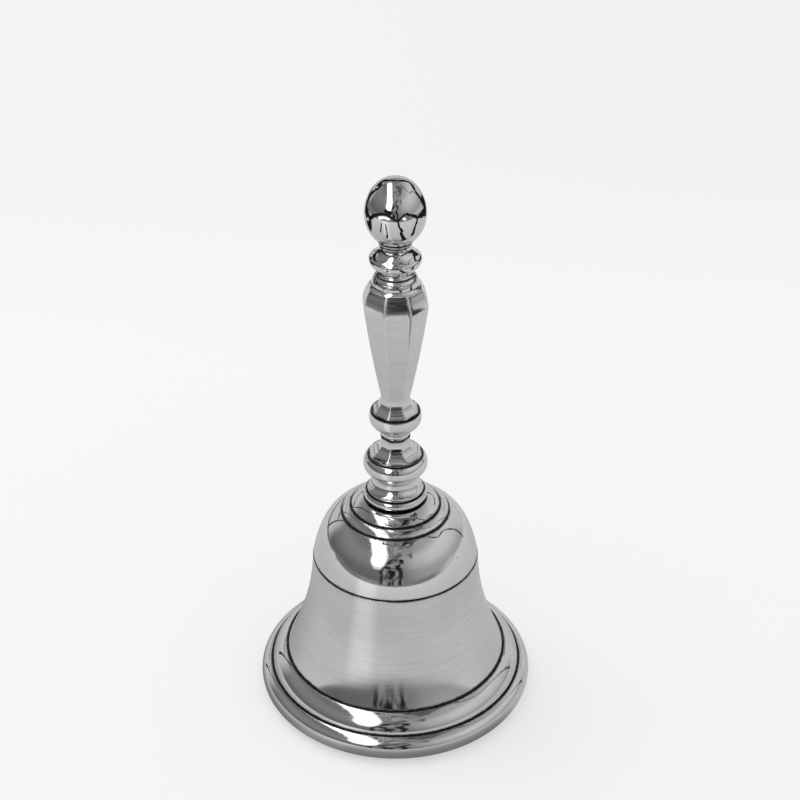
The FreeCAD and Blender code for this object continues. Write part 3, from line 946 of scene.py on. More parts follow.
@dataclass
class Bell(Assembly):
    """The bell's casting, from its lip to its crown."""

    mouth: float = 28.3
    lip_width: float = 3.4
    lip_foot: float = 25.9
    lip_widest: float = 2.3
    lip_height: float = 5.3
    lip_overhang: float = 2.0
    band_height: float = 3.6
    band_width: float = 3.3
    step: float = 0.3
    waist_height: float = 23.7
    waist_top: float = 16.95
    dome: float = 16.8
    dome_height: float = 11.0
    shoulder_height: float = 6.2
    shoulder_inset: float = 1.85
    outer_step: float = 10.75
    crown_band_height: float = 1.4
    inner_step: float = 8.9
    crown_height: float = 1.3
    foot: float = 6.4
    crown_thickness: float = 2.4
    inner_flat: float = 6.1
    wall: float = 1.6
    line_half: float = 0.25
    line_depth: float = 0.25
    lip_lower_swell: float = 0.65
    lip_upper_swell: float = 0.7
    band_swell: float = 0.6
    waist_hollow: float = 1.3
    shoulder_swell: float = 0.2
    dome_swell: float = 0.5
    outer_crown_swell: float = 0.2
    inner_crown_swell: float = 0.15
    inner_dome_rise: float = 2.0
    inner_waist_rise: float = 1.4
    handle_edges: tuple[float, float] = (5.7, 6.0)
    segments: int = 208

    def build(self) -> None:
        """Makes the casting."""
        band_radius = self.mouth - self.lip_overhang
        waist_foot = band_radius - self.band_width
        band_top = self.lip_height + self.band_height
        dome_base = band_top + self.waist_height
        line_top = dome_base + self.line_half
        outer = dome_base + self.dome_height
        inner = outer + self.crown_band_height
        top = inner + self.crown_height
        under = top - self.crown_thickness
        rim = self.mouth - self.lip_width
        shell = Outline(
            rim,
            0.0,
            (self.lip_foot, 0.0),
            (self.mouth, self.lip_widest, self.lip_lower_swell),
            (band_radius, self.lip_height, self.lip_upper_swell),
            (band_radius - self.step, self.lip_height),
            (waist_foot, band_top, self.band_swell),
        )
        shell.path(
            (waist_foot - self.step, band_top),
            (self.waist_top, dome_base - self.line_half, -self.waist_hollow),
            zone=Zone.SATIN,
        )
        shell.path(
            (self.dome - self.line_depth, dome_base),
            (self.dome, line_top),
            (self.dome - self.shoulder_inset, dome_base + self.shoulder_height, self.shoulder_swell),
            (self.outer_step, outer - self.step, self.dome_swell),
            (self.outer_step, outer),
            (self.inner_step, inner - self.step, self.outer_crown_swell),
            (self.inner_step, inner),
            (self.foot, top, self.inner_crown_swell),
            (self.bore, top),
            zone=Zone.POLISHED,
        )
        shell.path(
            (self.bore, under),
            (self.inner_flat, under),
            (self.dome - self.wall, dome_base, -self.inner_dome_rise),
            (rim, 0.0, self.inner_waist_rise),
            zone=Zone.INSIDE,
        )
        seams = [(radius, top) for radius in self.handle_edges]
        section = shell.section(edge=0.14, root=0.05, reach=0.46, seams=seams)
        self.fit(turned("bell_casting", section, self.segments), "bell_shell", Finish.SHELL)


@dataclass
class Knop(Assembly):
    """The handle's foot: moulded ring, hollow collar, wide bead and eight-sided flare."""

    def build(self) -> None:
        """Makes the four pieces."""
        self.foot_ring()
        self.spool()
        self.bead()
        self.trumpet()

    def foot_ring(self, foot: float = 5.6, land: float = 0.4, top: float = 5.75, swell: float = 0.72) -> None:
        """The moulded ring that stands on the crown."""
        low, high = span_of("foot_ring")
        ring = Outline(self.bore, low, (foot, low), (foot, low + land), (top, high, swell), (self.bore, high))
        seams = [(foot, low), (foot, low + land), (top, high)]
        self.turn("foot_ring", ring, edge=0.08, reach=0.34, seams=seams)

    def spool(self, rim: float = 5.65, land: float = 0.35, seat: float = 4.8, hollow: float = 1.15) -> None:
        """The hollow-sided collar."""
        low, high = span_of("spool")
        body = Outline(self.bore, low, (rim, low), (rim, low + land), (seat, high, -hollow), (self.bore, high))
        self.turn("spool", body, edge=0.08, seams=[(rim, low), (seat, high)])

    def bead(
        self,
        seat: float = 4.8,
        widest: float = 6.4,
        widest_share: float = 0.55,
        ledge: float = 5.65,
        flare: float = 5.4,
        swells: tuple[float, float] = (0.5, 0.2),
    ) -> None:
        """The widest bead of the handle."""
        low, high = span_of("knop_bead")
        middle = low + (high - low) * widest_share
        body = Outline(self.bore, low, (seat, low), (widest, middle, swells[0]))
        body.path((ledge, high, swells[1]), (self.bore, high))
        self.turn("knop_bead", body, edge=0.12, seams=[(seat, low), (flare, high)])

    def trumpet(
        self,
        foot: float = 5.4,
        land: float = 0.4,
        inset: float = 0.1,
        chamfer: float = 0.08,
        worn: float = 0.06,
        lift: float = 0.02,
        neck: float = 2.9,
        hollow: float = 1.1,
    ) -> None:
        """The eight-sided flare on its round foot.

        Args:
            foot: the radius of its foot.
            land: how high the foot's upright edge is.
            inset: how far the flare stands in from the edge.
            chamfer: how far the foot's two edges are chamfered.
            worn: how far the edge's top is worn back.
            lift: how far the flare starts above the edge.
            neck: the distance from the axis to the flats at its top.
            hollow: how far its side is hollowed.
        """
        low, high = span_of("trumpet")
        ledge = low + land
        flare = (foot - inset, ledge + lift)
        flats = Outline(foot * 2.0, low, (foot * 2.0, ledge), flare, (neck, high, -hollow))
        limit = Outline(foot - chamfer, low, (foot, low + chamfer), (foot, ledge - chamfer))
        limit.path((foot - worn, ledge), flare, (foot - inset, high))
        seams = ((low, 0.2, 1.0), (high, 0.25, 1.0), (ledge, 0.12, 0.8))
        piece = Facetted().build("trumpet_flare", flats, limit, self.bore, seams, self.metals[Finish.HANDLE])
        self.fit(piece, "trumpet", Finish.HANDLE)


@dataclass
class Grip(Assembly):
    """The grip with the neck and bead that it stands on."""

    def build(self) -> None:
        """Makes the three pieces."""
        self.neck_ring()
        self.bead()
        self.baluster()

    def neck_ring(
        self,
        neck: float = 2.95,
        throat: float = 3.0,
        ring: float = 3.2,
        ring_height: float = 0.6,
        swells: tuple[float, float] = (-0.3, 0.25),
    ) -> None:
        """The narrow neck and its ring."""
        low, high = span_of("neck_ring")
        body = Outline(self.bore, low, (neck, low), (throat, high - ring_height, swells[0]))
        body.path((ring, high, swells[1]), (self.bore, high))
        self.turn("neck_ring", body, edge=0.05, seams=[(neck, low), (ring, high)])

    def bead(
        self,
        seat: float = 3.3,
        widest: float = 5.15,
        widest_share: float = 0.6,
        top: float = 4.892,
        swells: tuple[float, float] = (0.55, 0.05),
    ) -> None:
        """The bead under the grip."""
        low, high = span_of("grip_bead")
        middle = low + (high - low) * widest_share
        body = Outline(self.bore, low, (seat, low), (widest, middle, swells[0]))
        body.path((top, high, swells[1]), (self.bore, high))
        self.turn("grip_bead", body, edge=0.1, seams=[(seat, low), (top, high)])

    def baluster(
        self,
        foot: float = 4.52,
        rim: float = 4.1,
        waist: float = 2.85,
        shoulder: float = 6.15,
        shoulder_top: float = 4.85,
        neck: float = 4.45,
        cap: float = 3.6,
        chamfer: float = 0.06,
        lift: float = 0.02,
        rises: tuple[float, float, float, float, float] = (0.4, 3.9, 24.2, 28.0, 28.8),
        swells: tuple[float, float, float, float, float] = (-0.5, 0.2, 0.25, -0.1, 0.25),
    ) -> None:
        """The eight-sided baluster: stepped foot, narrow waist, long taper, broken shoulder, turned neck.

        Args:
            foot: the distance from the axis to the flats at its foot.
            rim: the same at the top of the foot's step.
            waist: the same at the waist.
            shoulder: the same at the shoulder.
            shoulder_top: the same above it.
            neck: the turned neck's radius.
            cap: the radius at its top.
            chamfer: how far its two ends are chamfered.
            lift: the height in which the turned neck closes in on the flats.
            rises: how high over its foot the step, waist, shoulder, shoulder's top and neck are.
            swells: how far the foot's hollow, taper, shoulder, neck and cap stand off their chords.
        """
        low, high = span_of("grip")
        step, narrow, wide, break_top, throat = (low + rise for rise in rises)
        flats = Outline(foot - chamfer, low, (foot, low + chamfer), (rim, step), (waist, narrow, swells[0]))
        flats.path((shoulder, wide, swells[1]), (shoulder_top, break_top, swells[2]), (shoulder_top, high))
        clear = 2.0 * shoulder
        corner = shoulder_top / math.cos(math.pi / 8.0)
        limit = Outline(clear, low, (clear, break_top - lift), (corner, break_top), zone=Zone.SATIN)
        limit.path((neck, throat, swells[3]), (cap, high - chamfer, swells[4]), (cap - chamfer, high))
        seams = ((low, 0.16, 1.0), (high, 0.2, 1.0))
        metal = self.metals[Finish.GRIP]
        piece = Facetted(steps=18).build("grip_baluster", flats, limit, self.bore, seams, metal)
        self.fit(piece, "grip", Finish.GRIP)


@dataclass
class Finial(Assembly):
    """The top of the handle: necked ring, collar, thin ring and ball."""

    def build(self) -> None:
        """Makes the four pieces."""
        self.cap_ring()
        self.collar()
        self.ring()
        self.ball()

    def cap_ring(
        self,
        rim: float = 3.6,
        neck: float = 3.3,
        rim_height: float = 0.4,
        swell: float = 0.08,
        hollow: float = 0.12,
    ) -> None:
        """The small ring between the grip and the collar."""
        low, high = span_of("cap_ring")
        body = Outline(self.bore, low, (rim, low), (rim, low + rim_height, swell), (neck, high, -hollow))
        self.turn("cap_ring", body.path((self.bore, high)), edge=0.05, seams=[(rim, low), (neck, high)])

    def collar(
        self,
        seat: float = 3.6,
        cap: float = 3.3,
        widest: float = 5.0,
        brim: float = 4.6,
        neck: float = 3.0,
        rises: tuple[float, float] = (1.5, 2.4),
        swells: tuple[float, float, float] = (0.35, 0.15, -0.4),
    ) -> None:
        """The round-edged collar, hollowed on top."""
        low, high = span_of("finial_collar")
        body = Outline(self.bore, low, (seat, low), (widest, low + rises[0], swells[0]))
        body.path((brim, low + rises[1], swells[1]), (neck, high, swells[2]), (self.bore, high))
        self.turn("finial_collar", body, edge=0.08, seams=[(cap, low), (neck, high)])

    def ring(self, foot: float = 3.0, seat: float = 3.3, swell: float = 0.15) -> None:
        """The thin ring under the ball."""
        low, high = span_of("finial_ring")
        body = Outline(self.bore, low, (foot, low), (seat, high, swell), (self.bore, high))
        self.turn("finial_ring", body, edge=0.04, seams=[(foot, low), (seat, high)])

    def ball(self, seat: float = 3.3, widest: float = 5.85, lower: float = 6.6, socket: float = 6.0) -> None:
        """The egg-shaped ball, with the rod's blind hole in its underside."""
        low, high = span_of("finial_ball")
        middle = low + lower * math.sqrt(1.0 - (seat / widest) ** 2)
        egg = Outline(self.rod, low, (seat, low)).oval(widest, middle, middle, widest, lower)
        egg.oval(0.0, high, middle, widest, high - middle).path((0.0, low + socket), (self.rod, low + socket))
        self.turn("finial_ball", egg, Finish.FINIAL, edge=0.06, seams=[(seat, low)])


@dataclass
class Hanger(Assembly):
    """What clamps the handle to the crown and carries the clapper: rod, washer, nuts and yoke."""

    pin_radius: float = 0.6
    clearance: float = 0.05
    overshoot: float = 1.0
    segments: int = 96

    def build(self) -> None:
        """Makes the pieces."""
        self.tie_rod()
        self.washer()
        self.crown_nut()
        self.yoke_nut()
        self.yoke()
        self.pin()

    def tie_rod(self, peen: float = 0.2) -> None:
        """The rod through the handle, with a peened lower end."""
        low, high = span_of("tie_rod")
        shoulder = span_of("crown_nut")[0]
        body = Outline(0.0, low, (self.journal - peen, low), (self.journal, low + peen))
        body.path((self.journal, shoulder), (self.rod, shoulder), (self.rod, high), (0.0, high))
        self.turn("tie_rod", body, Finish.STEEL, edge=0.06, seams=[(self.journal, low)])

    def washer(self, rim: float = 4.6, nut: float = 2.9) -> None:
        """The washer under the crown."""
        low, high = span_of("crown_washer")
        disc = Outline(self.bore, low, (rim, low), (rim, high), (self.bore, high))
        self.turn("crown_washer", disc, Finish.BRASS, edge=0.12, seams=[(rim, high), (nut, low)])

    def crown_nut(self, apothem: float = 2.75, chamfer: float = 0.35) -> None:
        """The hexagon nut, chamfered at both ends."""
        low, high = span_of("crown_nut")
        corner = apothem / math.cos(math.pi / 6.0)
        limit = Outline(apothem, low, (corner, low + chamfer), (corner, high - chamfer), (apothem, high))
        facets = Facetted(flats=6, ridge_power=140.0, steps=14)
        self.nut("crown_nut", "crown_nut_hexagon", facets, apothem, limit, self.rod, 0.2)

    def yoke_nut(self, rim: float = 1.8, chamfer: float = 0.15, flats: int = 18) -> None:
        """The round nut on the rod's end, with a coined edge."""
        low, high = span_of("yoke_nut")
        limit = Outline(rim - chamfer, low, (rim, low + chamfer), (rim, high - chamfer), (rim - chamfer, high))
        facets = Facetted(flats=flats, ridge_power=900.0, steps=8)
        inner = rim * math.cos(math.pi / flats)
        self.nut("yoke_nut", "yoke_nut_coined", facets, inner, limit, self.journal, 0.15)

    def nut(
        self, node: str, name: str, facets: Facetted, apothem: float, limit: Outline, bore: float, reach: float
    ) -> None:
        """Makes and fits a nut.

        Args:
            node: the CAD node that it stands for.
            name: the piece's name.
            facets: how it is cut.
            apothem: the distance from its axis to its flats.
            limit: its turned outline.
            bore: its hole's radius.
            reach: how far tarnishing and painted shade spread from its upper face.
        """
        low, high = span_of(node)
        limit.zone = Zone.SATIN
        flats = Outline(apothem, low, (apothem, high))
        piece = facets.build(name, flats, limit, bore, [(high, reach, 1.0)], self.metals[Finish.BRASS])
        self.fit(piece, node, Finish.BRASS)

    def yoke(
        self,
        width: float = 3.6,
        thickness: float = 0.9,
        gap: float = 4.2,
        bend: float = 1.1,
        tip: float = 0.12,
        bevel: float = 0.12,
    ) -> None:
        """The bent strap that turns on the journal, with round-ended ears.

        Args:
            width: the strap's width.
            thickness: its thickness.
            gap: how far apart its ears are.
            bend: the outer radius of its bends.
            tip: half of the width of its ears' lower ends.
            bevel: how far its edges are broken.
        """
        bottom, top = span_of("swivel_yoke")
        outer = gap / 2.0 + thickness
        radius = width / 2.0
        rows: list[tuple[float, float, float, float, float]] = []
        for turn in np.linspace(0.0, 1.0, 15) * math.pi / 2.0:
            rise = radius * (1.0 - math.cos(turn))
            rows.append((outer, bottom + rise, 1.0, 0.0, max(tip, radius * math.sin(turn))))
        rows.append((outer, top - bend, 1.0, 0.0, radius))
        for turn in np.linspace(0.15, 1.0, 7) * math.pi / 2.0:
            side, rise = math.cos(turn), math.sin(turn)
            rows.append((outer - bend + bend * side, top - bend + bend * rise, side, rise, radius))
        rows.extend([(-y, z, -side, rise, half) for y, z, side, rise, half in reversed(rows)])
        vertices: list[tuple[float, float, float]] = []
        for y, z, side, rise, half in rows:
            under = (y - side * thickness, z - rise * thickness)
            vertices.extend([(-half, y, z), (half, y, z), (half, *under), (-half, *under)])
        faces: list[tuple[int, ...]] = [(0, 3, 2, 1)]
        last = len(vertices) - 4
        for base in range(0, last, 4):
            for corner, beside in ((0, 1), (1, 2), (2, 3), (3, 0)):
                faces.append((base + corner, base + beside, base + 4 + beside, base + 4 + corner))
        faces.append((last, last + 1, last + 2, last + 3))
        strap = add_object("swivel_yoke_strap", [(x * MM, y * MM, z * MM) for x, y, z in vertices], faces)
        edges = strap.modifiers.new("edges", "BEVEL")
        edges.width, edges.segments = bevel * MM, 3
        edges.limit_method, edges.angle_limit = "ANGLE", math.radians(40.0)
        ends = (top - 2.0 * self.overshoot, top + self.overshoot)
        strap = drilled(baked(strap), self.journal + self.clearance, ends, 48)
        reach = outer + self.overshoot
        strap = drilled(strap, self.pin_radius, (-reach, reach), 32, Turning.ACROSS, bottom + radius)
        self.fit(strap, "swivel_yoke", Finish.BRASS)

    def pin(self, head: float = 1.1, head_height: float = 0.4, dome: float = 0.1, swell: float = 0.09) -> None:
        """The clapper's pin, with a domed head formed on each end."""
        end = span_of("clapper_pin", 1)[1]
        pivot = sum(span_of("clapper_pin")) / 2.0
        inner = end - head_height
        shank = self.pin_radius
        body = Outline(0.0, -end, (head, -inner - dome, swell), (head, -inner), (shank, -inner), (shank, inner))
        body.path((head, inner), (head, inner + dome), (0.0, end, swell))
        section = body.section(edge=0.04, seams=[(head, inner), (head, -inner)])
        self.fit(turned("clapper_pin_headed", section, 48, Turning.ACROSS, pivot), "clapper_pin", Finish.STEEL)


@dataclass
class Clapper(Assembly):
    """The clapper: a rod with a cross barrel, and its ball."""

    shank: float = 0.8
    collar: float = 1.15
    barrel: float = 1.5
    barrel_half: float = 1.8
    eye: float = 0.65
    ball: float = 4.2
    engagement: float = 5.0
    taper: float = 1.3
    waist: float = 0.12
    overshoot: float = 1.0
    segments: int = 96

    def build(self) -> None:
        """Makes the two pieces."""
        self.rod_with_barrel()
        self.striking_ball()

    def rod_with_barrel(self) -> None:
        """The rod and its barrel, bored for the pin."""
        low, high = span_of("clapper_rod")
        pivot = high - self.barrel
        shank = Outline(0.0, low, (self.shank, low), (self.shank, pivot - self.taper, -self.waist))
        shank.path((self.collar, pivot), (0.0, pivot))
        piece = turned("clapper_rod_turned", shank.section(edge=0.05), 40)
        end = self.barrel_half
        body = Outline(0.0, -end, (self.barrel, -end), (self.barrel, end), (0.0, end)).section(edge=0.15)
        piece = combined(piece, turned("clapper_barrel", body, 56, Turning.ACROSS, pivot), "UNION")
        reach = end + self.overshoot
        piece = drilled(piece, self.eye, (-reach, reach), 32, Turning.ACROSS, pivot)
        self.fit(piece, "clapper_rod", Finish.STEEL)

    def striking_ball(self) -> None:
        """The ball that strikes the wall."""
        low = span_of("clapper_ball")[0]
        middle = low + self.ball
        top = middle + math.sqrt(self.ball**2 - self.shank**2)
        floor = middle + self.ball - self.engagement
        ball = Outline(0.0, low).oval(self.shank, top, middle, self.ball, self.ball)
        ball.path((self.shank, floor), (0.0, floor))
        self.turn("clapper_ball", ball, Finish.CLAPPER, edge=0.05, seams=[(self.shank, top)])


# ---- Studio ----

# What mirrors see of the table, by distance from the bell: painted shade close to its foot, then the pale sheet
# and its dark edge.
SHEET_AND_PAINTED_SHADE = ((0.05, 0.14), (0.075, 0.38), (0.12, 0.52), (0.30, 0.57), (0.60, 0.62), (0.90, 0.62), (0.93, 0.05))
ROOM_BY_HEIGHT = (
    (0.0, 0.16), (0.12, 0.18), (0.35, 0.26), (0.62, 0.30), (0.80, 0.22), (0.93, 0.22), (1.0, 0.34)
)
ROOM_BY_SIDE = ((0.0, 0.30), (0.2, 0.30), (0.55, 0.36), (0.70, 0.62), (0.85, 0.80), (1.0, 0.85))
GLOW_ACROSS = ((0.0, 0.12), (0.20, 0.40), (0.42, 1.0), (1.0, 1.0))
GLOW_ALONG = ((0.0, 0.7), (0.3, 1.0), (0.70, 1.0), (0.80, 0.50), (0.92, 0.28), (1.0, 0.10))
STRIP = (
    ((-147, 52), (-166, 63)),
    ((-112, 62), (-120, 80)),
    ((-68, 58), (-30, 67)),
    ((-46, 39), (-16, 43)),
    ((-43, 20), (-18, 21)),
    ((-36, 9), (-23, 9)),
)
CAMERA_DARK = (((-24, -5.5), (7, -5.5)), ((-26, 8), (6, 8)), ((-19, 22), (9, 20)), ((-13, 36), (9, 36)))
CAMERA_STAND = (((-10, 36), (24, 34)), ((-8, 55), (30, 52)), ((-12, 74), (55, 66)), ((175, 80), (110, 66)))
TENT_SEAMS = {
    "seam_left": ((-135, -8), (-134, 20), (-136, 40), (-131, 55)),
    "seam_back": ((-136, 18), (-160, 14), (-168, 27), (176, 38), (150, 14), (132, 24)),
    "seam_right": ((115, -8), (114, 15), (108, 36), (92, 42), (93, 58), (139, 66)),
}
# Dark cards close to the finial ball, seen only in its reflection: painted dark lines in what the ball mirrors,
# and below the strip's highlight a painted dark blotch.
BALL_MIRRORED_DARK_LINES = {
    "rim_left": (
        0.050,
        ((-159, 10), (-134, 32), (-136, 8), (-144, -10), (-140, -20), (-118, -19), (-106, -30), (-140, -38)),
    ),
    "arc_back": (0.050, ((-159, 10), (-164, 37), (166, 49), (149, 23), (140, 18))),
    "rim_right": (0.050, ((140, 18), (123, 20), (121, 4), (126, -8), (146, -18), (118, -19), (84, -15))),
    "scallop_left": (0.050, ((-110, -32), (-100, -20), (-70, -5), (-42, 3), (-23, -1), (1, -11), (6, -16))),
    "below_strip": (0.085, ((-46, 13), (-32, 10), (-18, 8))),
    "front": (0.050, ((6, -16), (12, -31), (24, -41), (19, -46), (44, -65), (80, -72))),
    "scallop_right": (
        0.050,
        ((1, -14), (30, 3), (53, -4), (78, -15), (80, -22), (75, -34), (79, -46), (89, -57)),
    ),
    "thin_outer": (0.026, ((-53, -21), (-69, -48))),
    "thin_inner": (0.026, ((-38, -21), (-40, -51), (-60, -66))),
}
GLEAMS = {"left": ((-66, -12), (-44, -6), (-23, -8)), "right": ((22, -6), (34, -10))}


def towards(azimuth: float, elevation: float) -> Vector:
    """A direction: degrees round from the front, positive to the right, and degrees up."""
    round_by, up = math.radians(azimuth), math.radians(elevation)
    return Vector((math.cos(up) * math.sin(round_by), -math.cos(up) * math.cos(round_by), math.sin(up)))


def smoothed(ways: Sequence[Vector], steps: int = 5) -> list[Vector]:
    """A smooth run through a list of directions.

    Args:
        ways: the directions that it goes through.
        steps: how many steps it takes from each to the next.

    Returns:
        The directions along it.
    """
    last = len(ways) - 1
    run: list[Vector] = []
    for index in range(last):
        before, start, end, after = (ways[min(max(index + offset, 0), last)] for offset in (-1, 0, 1, 2))
        for step in range(steps):
            share = step / steps
            bend = (2.0 * before - 5.0 * start + 4.0 * end - after) * share**2
            twist = (3.0 * start - before - 3.0 * end + after) * share**3
            run.append((2.0 * start + (end - before) * share + bend + twist).normalized())
    return [*run, ways[last]]


@dataclass
class Studio:
    """The pale table, the lights, what the silver mirrors, and the camera.

    Attributes:
        camera_back: how far the camera stands from the bell's axis, level, in metres.
        camera_height: how high it stands.
        camera_turn: how far round it stands from straight in front, in degrees.
        camera_down: how far it looks down, in degrees.
        lens: its focal length, in millimetres.
        sensor: its sensor's width, in millimetres.
        shift: its sideways shift.
        strip_power: how bright the strip light is.
        fill: how bright the room lights the table.
        key_power: the key light's power, in watts.
        table_grey: how pale the table is, in front and far behind.
        table_half: half of its width.
        sheet_reach: how far the pale sheet on it reaches, as the silver mirrors it.
        room_power: how bright the silver mirrors the room.
        tent_radius: how far the light tent stands from its middle.
        tent_middle: how high its middle is.
        wire_reach: how far the cards that paint dark lines and gleams into the finial ball's reflection stand
            from it.
    """

    camera_back: float = 0.3282
    camera_height: float = 0.2820
    camera_turn: float = 3.8
    camera_down: float = 32.93
    lens: float = 90.0
    sensor: float = 36.0
    shift: float = 0.00575
    strip_power: float = 3.2
    fill: float = 0.83
    key_power: float = 2.0
    table_grey: tuple[float, float] = (0.47, 0.45)
    table_half: float = 3.0
    sheet_reach: float = 0.52
    room_power: float = 2.6
    tent_radius: float = 0.55
    tent_middle: float = 0.06
    wire_reach: float = 0.030

    def __post_init__(self) -> None:
        """Notes where the finial ball is, for the cards that are placed by what it mirrors."""
        low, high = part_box("finial_ball")
        self.ball_middle = (low + high) / 2.0
        self.ball_radius = (high.x - low.x) / 2.0

    def build(self) -> None:
        """Makes the whole studio."""
        self.floor()
        self.world()
        self.ribbon("strip_light", self.edges(STRIP), self.soft_glow("strip_glow"))
        self.ribbon("camera_dark", self.edges(CAMERA_DARK), self.blotched("camera_dark", 0.012, 0.26, 13.0))
        self.ribbon("camera_stand", self.edges(CAMERA_STAND), self.blotched("camera_stand", 0.10, 0.30, 8.0))
        self.seams()
        self.key()
        self.camera()

    def floor(self) -> None:
        """The pale table. Mirrors see a sheet with an edge, and a darker room beyond it.

        From below it is clear, so that the clapper can be looked at.
        """
        made, tree = new_material("pale_table")
        where = tree.where()
        distance = tree.vector("LENGTH", where).outputs["Value"]
        room = ((0.97, 0.05), (1.0, 0.18))
        # Seen only in mirrors: painted shade on the sheet close to the bell's foot, painted light towards the
        # right and back, and a painted bright wedge to the front left.
        sheet = tree.greys(tree.math("DIVIDE", distance, self.sheet_reach), (*SHEET_AND_PAINTED_SHADE, *room))
        way = tree.vector("NORMALIZE", where).outputs[0]
        right = tree.vector("DOT_PRODUCT", way, (0.8, 0.6, 0.0)).outputs["Value"]
        sheet = tree.mix(tree.ranged(right, 0.10, 0.60, soft=True), sheet, grey(0.50), "LIGHTEN")
        ahead = tree.vector("DOT_PRODUCT", way, towards(-40.0, 0.0)).outputs["Value"]
        mirrored = tree.glow(sheet, tree.ranged(ahead, 0.955, 1.0, 1.0, 1.35, soft=True))
        far = tree.ranged(tree.apart(where)[1], 0.12, 0.26, soft=True)
        colour = tree.mix(far, *((level, level, level + 0.002, 1.0) for level in self.table_grey))
        lit = tree.add("ShaderNodeBsdfDiffuse", {"Color": colour}).outputs[0]
        seen = tree.add("ShaderNodeAddShader", {0: lit, 1: tree.glow(colour)}).outputs[0]
        both = tree.either(tree.add("ShaderNodeLightPath").outputs["Is Glossy Ray"], seen, mirrored)
        below = tree.add("ShaderNodeNewGeometry").outputs["Backfacing"]
        tree.show(tree.either(below, both, tree.add("ShaderNodeBsdfTransparent").outputs[0]))
        half = self.table_half
        corners = [(-half, -half, 0.0), (half, -half, 0.0), (half, half, 0.0), (-half, half, 0.0)]
        table = add_object("pale_table", corners, [(0, 1, 2, 3)])
        table.data.materials.append(made)

    def world(self) -> None:
        """The room: pale where it is seen or lights the table, grey where the silver mirrors it."""
        room = bpy.data.worlds.new("studio_room")
        bpy.context.scene.world = room
        room.use_nodes = True
        tree = Tree(room.node_tree)
        across, along, up = tree.apart(tree.add("ShaderNodeTexCoord").outputs["Generated"])
        side = tree.greys(tree.math("MULTIPLY_ADD", across, 0.5, 0.5), ROOM_BY_SIDE)
        lit = tree.mix(1.0, tree.greys(up, ROOM_BY_HEIGHT), side, "MULTIPLY")
        behind = tree.ranged(along, 0.40, 0.68, soft=True)
        low = tree.ranged(up, 0.62, 0.42, soft=True)
        whole = tree.mix(tree.math("MULTIPLY", behind, low), lit, grey(0.22))
        seen, mirrored = (
            tree.add("ShaderNodeBackground", {"Color": colour, "Strength": strength}).outputs[0]
            for colour, strength in ((grey(1.0), self.fill), (whole, self.room_power))
        )
        glossy = tree.add("ShaderNodeLightPath").outputs["Is Glossy Ray"]
        tree.show(tree.either(glossy, seen, mirrored), "ShaderNodeOutputWorld")

    @staticmethod
    def glow(name: str, level: float, strength: float) -> Material:
        """A plain glowing card."""
        made, tree = new_material(name)
        tree.show(tree.glow(grey(level), strength))
        return made

    @staticmethod
    def blotched(name: str, low: float, high: float, scale: float) -> Material:
        """A card that glows unevenly.

        Args:
            name: the material's name.
            low: its level over most of it.
            high: its level in patches.
            scale: how many patches there are to a metre.

        Returns:
            The material.
        """
        made, tree = new_material(name)
        levels = ((0.0, low), (0.46, low), (0.60, high), (1.0, high * 1.5))
        tree.show(tree.glow(tree.greys(tree.noise(tree.where(), scale, 2.0), levels)))
        return made

    def soft_glow(self, name: str) -> Material:
        """The strip's glow, which fades towards its edges and its last end."""
        made, tree = new_material(name)
        off_middle = tree.math("ABSOLUTE", tree.math("MULTIPLY_ADD", tree.stored("across"), 2.0, -1.0))
        edge = tree.greys(tree.math("SUBTRACT", 1.0, off_middle), GLOW_ACROSS)
        level = tree.math("MULTIPLY", edge, tree.greys(tree.stored("along"), GLOW_ALONG))
        tree.show(tree.glow(grey(1.0), tree.math("MULTIPLY", level, self.strip_power)))
        return made

    @staticmethod
    def edges(rows: Sequence[Sequence[tuple[float, float]]]) -> list[list[Vector]]:
        """The directions of a card's two edges, from turns and elevations in degrees."""
        return [[towards(*stop) for stop in row] for row in rows]

    def on_tent(self, way: Vector) -> Vector:
        """The point of the light tent in a direction from the bell."""
        return Vector((0.0, 0.0, self.tent_middle)) + way * self.tent_radius

    def over_ball(self, way: Vector) -> Vector:
        """The point near the finial ball that the camera sees mirrored in it when a ray leaves it this way."""
        return self.ball_spot(way)[0] + way * self.wire_reach

    def ball_spot(self, way: Vector) -> tuple[Vector, float]:
        """Where the finial ball mirrors a direction to the camera.

        Args:
            way: the direction that is mirrored.

        Returns:
            The point on the ball, and how squarely it faces the camera, from 0 to 1.
        """
        to_camera = (self.camera_place() - self.ball_middle).normalized()
        normal = (way + to_camera).normalized()
        return self.ball_middle + normal * self.ball_radius, normal.dot(to_camera)

    def ribbon(
        self,
        name: str,
        rows: Sequence[Sequence[Vector]],
        material: Material,
        place: Callable[[Vector], Vector] | None = None,
        steps: int = 6,
    ) -> None:
        """A bent card round the bell, seen in reflections alone.

        Args:
            name: the card's name.
            rows: the directions of its two edges, in order along it.
            material: its material.
            place: where it stands in a direction, on the tent by default.
            steps: how many points each edge has from row to row.
        """
        points: list[Vector] = []
        along: list[float] = []
        last = len(rows) - 1
        for index in range(last):
            for share in np.linspace(0.0, 1.0, steps, endpoint=index == last - 1):
                for side in range(2):
                    way = rows[index][side].lerp(rows[index + 1][side], float(share)).normalized()
                    points.append((place or self.on_tent)(way))
                    along.append((index + float(share)) / last)
        faces = [(row, row + 1, row + 3, row + 2) for row in range(0, len(points) - 3, 2)]
        card = add_object(name, [tuple(point) for point in points], faces)
        put_values(card.data, "across", np.arange(len(points)) % 2)
        put_values(card.data, "along", np.array(along))
        card.data.materials.append(material)
        card.visible_camera = card.visible_diffuse = False
        card.visible_shadow = card.visible_transmission = False

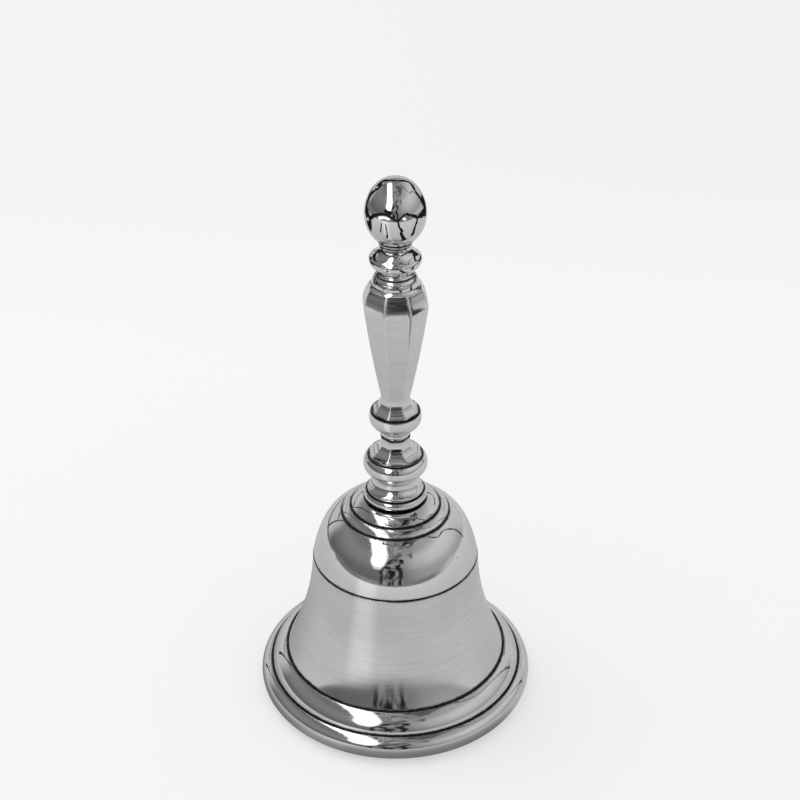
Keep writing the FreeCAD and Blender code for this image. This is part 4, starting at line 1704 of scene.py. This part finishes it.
    def line(
        self,
        name: str,
        path: Sequence[tuple[float, float]],
        half: float,
        material: Material,
        place: Callable[[Vector], Vector],
    ) -> None:
        """A narrow card that follows a line of directions.

        Args:
            name: the card's name.
            path: turns and elevations, in degrees.
            half: half its width, as a share of its distance, where the ball faces the camera.
            material: its material.
            place: where it stands in a direction.
        """
        ways = smoothed([towards(*stop) for stop in path])
        rows = []
        for index, way in enumerate(ways):
            run = ways[min(index + 1, len(ways) - 1)] - ways[max(index - 1, 0)]
            uneven = 0.8 + 0.4 * ((index * 37) % 5) / 4.0
            slant = 1.0 if place == self.on_tent else 1.0 / max(0.4, self.ball_spot(way)[1])
            aside = way.cross(run).normalized() * half * uneven * slant
            rows.append((way - aside, way + aside))
        self.ribbon(name, rows, material, place)

    def seams(self) -> None:
        """The thin dark seams of the light tent, and the cards close to the finial ball that paint dark lines
        and gleams into its reflection.
        """
        dark = self.glow("tent_seam", 0.012, 1.0)
        bright = self.glow("small_gleam", 1.0, 1.4)
        for name, path in TENT_SEAMS.items():
            self.line(name, path, 0.018, dark, self.on_tent)
        # Painted dark lines and gleams in the finial ball's reflection, from cards close to it.
        for name, (half, path) in BALL_MIRRORED_DARK_LINES.items():
            self.line("wire_" + name, path, half, dark, self.over_ball)
        for name, path in GLEAMS.items():
            self.line("gleam_" + name, path, 0.045, bright, self.over_ball)

    def key(self) -> None:
        """The soft key light from the upper left, behind the bell."""
        lamp = bpy.data.lights.new("key_light", "AREA")
        lamp.shape, lamp.size, lamp.size_y, lamp.energy = "RECTANGLE", 0.7, 0.5, self.key_power
        made = bpy.data.objects.new("key_light", lamp)
        bpy.context.scene.collection.objects.link(made)
        made.location = place = Vector((-0.45, 0.35, 0.85))
        made.rotation_euler = (-place).to_track_quat("-Z", "Y").to_euler()
        made.visible_glossy = made.visible_camera = False

    def camera_place(self) -> Vector:
        """Where the camera stands."""
        turn = math.radians(self.camera_turn)
        level = Vector((-math.sin(turn), -math.cos(turn), 0.0)) * self.camera_back
        return level + Vector((0.0, 0.0, self.camera_height))

    def camera(self) -> None:
        """The camera, which looks down on the bell from the front, and plain colours with no filmic curve."""
        lens = bpy.data.cameras.new("camera")
        lens.lens, lens.sensor_width, lens.shift_x = self.lens, self.sensor, self.shift
        lens.clip_start, lens.clip_end = 0.01, 20.0
        made = bpy.data.objects.new("camera", lens)
        made.location = self.camera_place()
        made.rotation_euler = (math.radians(90.0 - self.camera_down), 0.0, -math.radians(self.camera_turn))
        scene = bpy.context.scene
        scene.collection.objects.link(made)
        scene.camera = made
        scene.view_settings.view_transform = "Standard"
        scene.view_settings.look = "None"


def main() -> None:
    """Builds the bell from its mouth up, then what hangs in it, then the studio."""
    logging.basicConfig(level=logging.INFO, format="%(message)s")
    metals = {finish: finish.value.material() for finish in Finish}
    for assembly in (Bell, Knop, Grip, Finial, Hanger, Clapper):
        assembly(metals).build()
        LOG.info("%s is done", assembly.__name__)
    Studio().build()


if __name__ == "__main__":
    main()
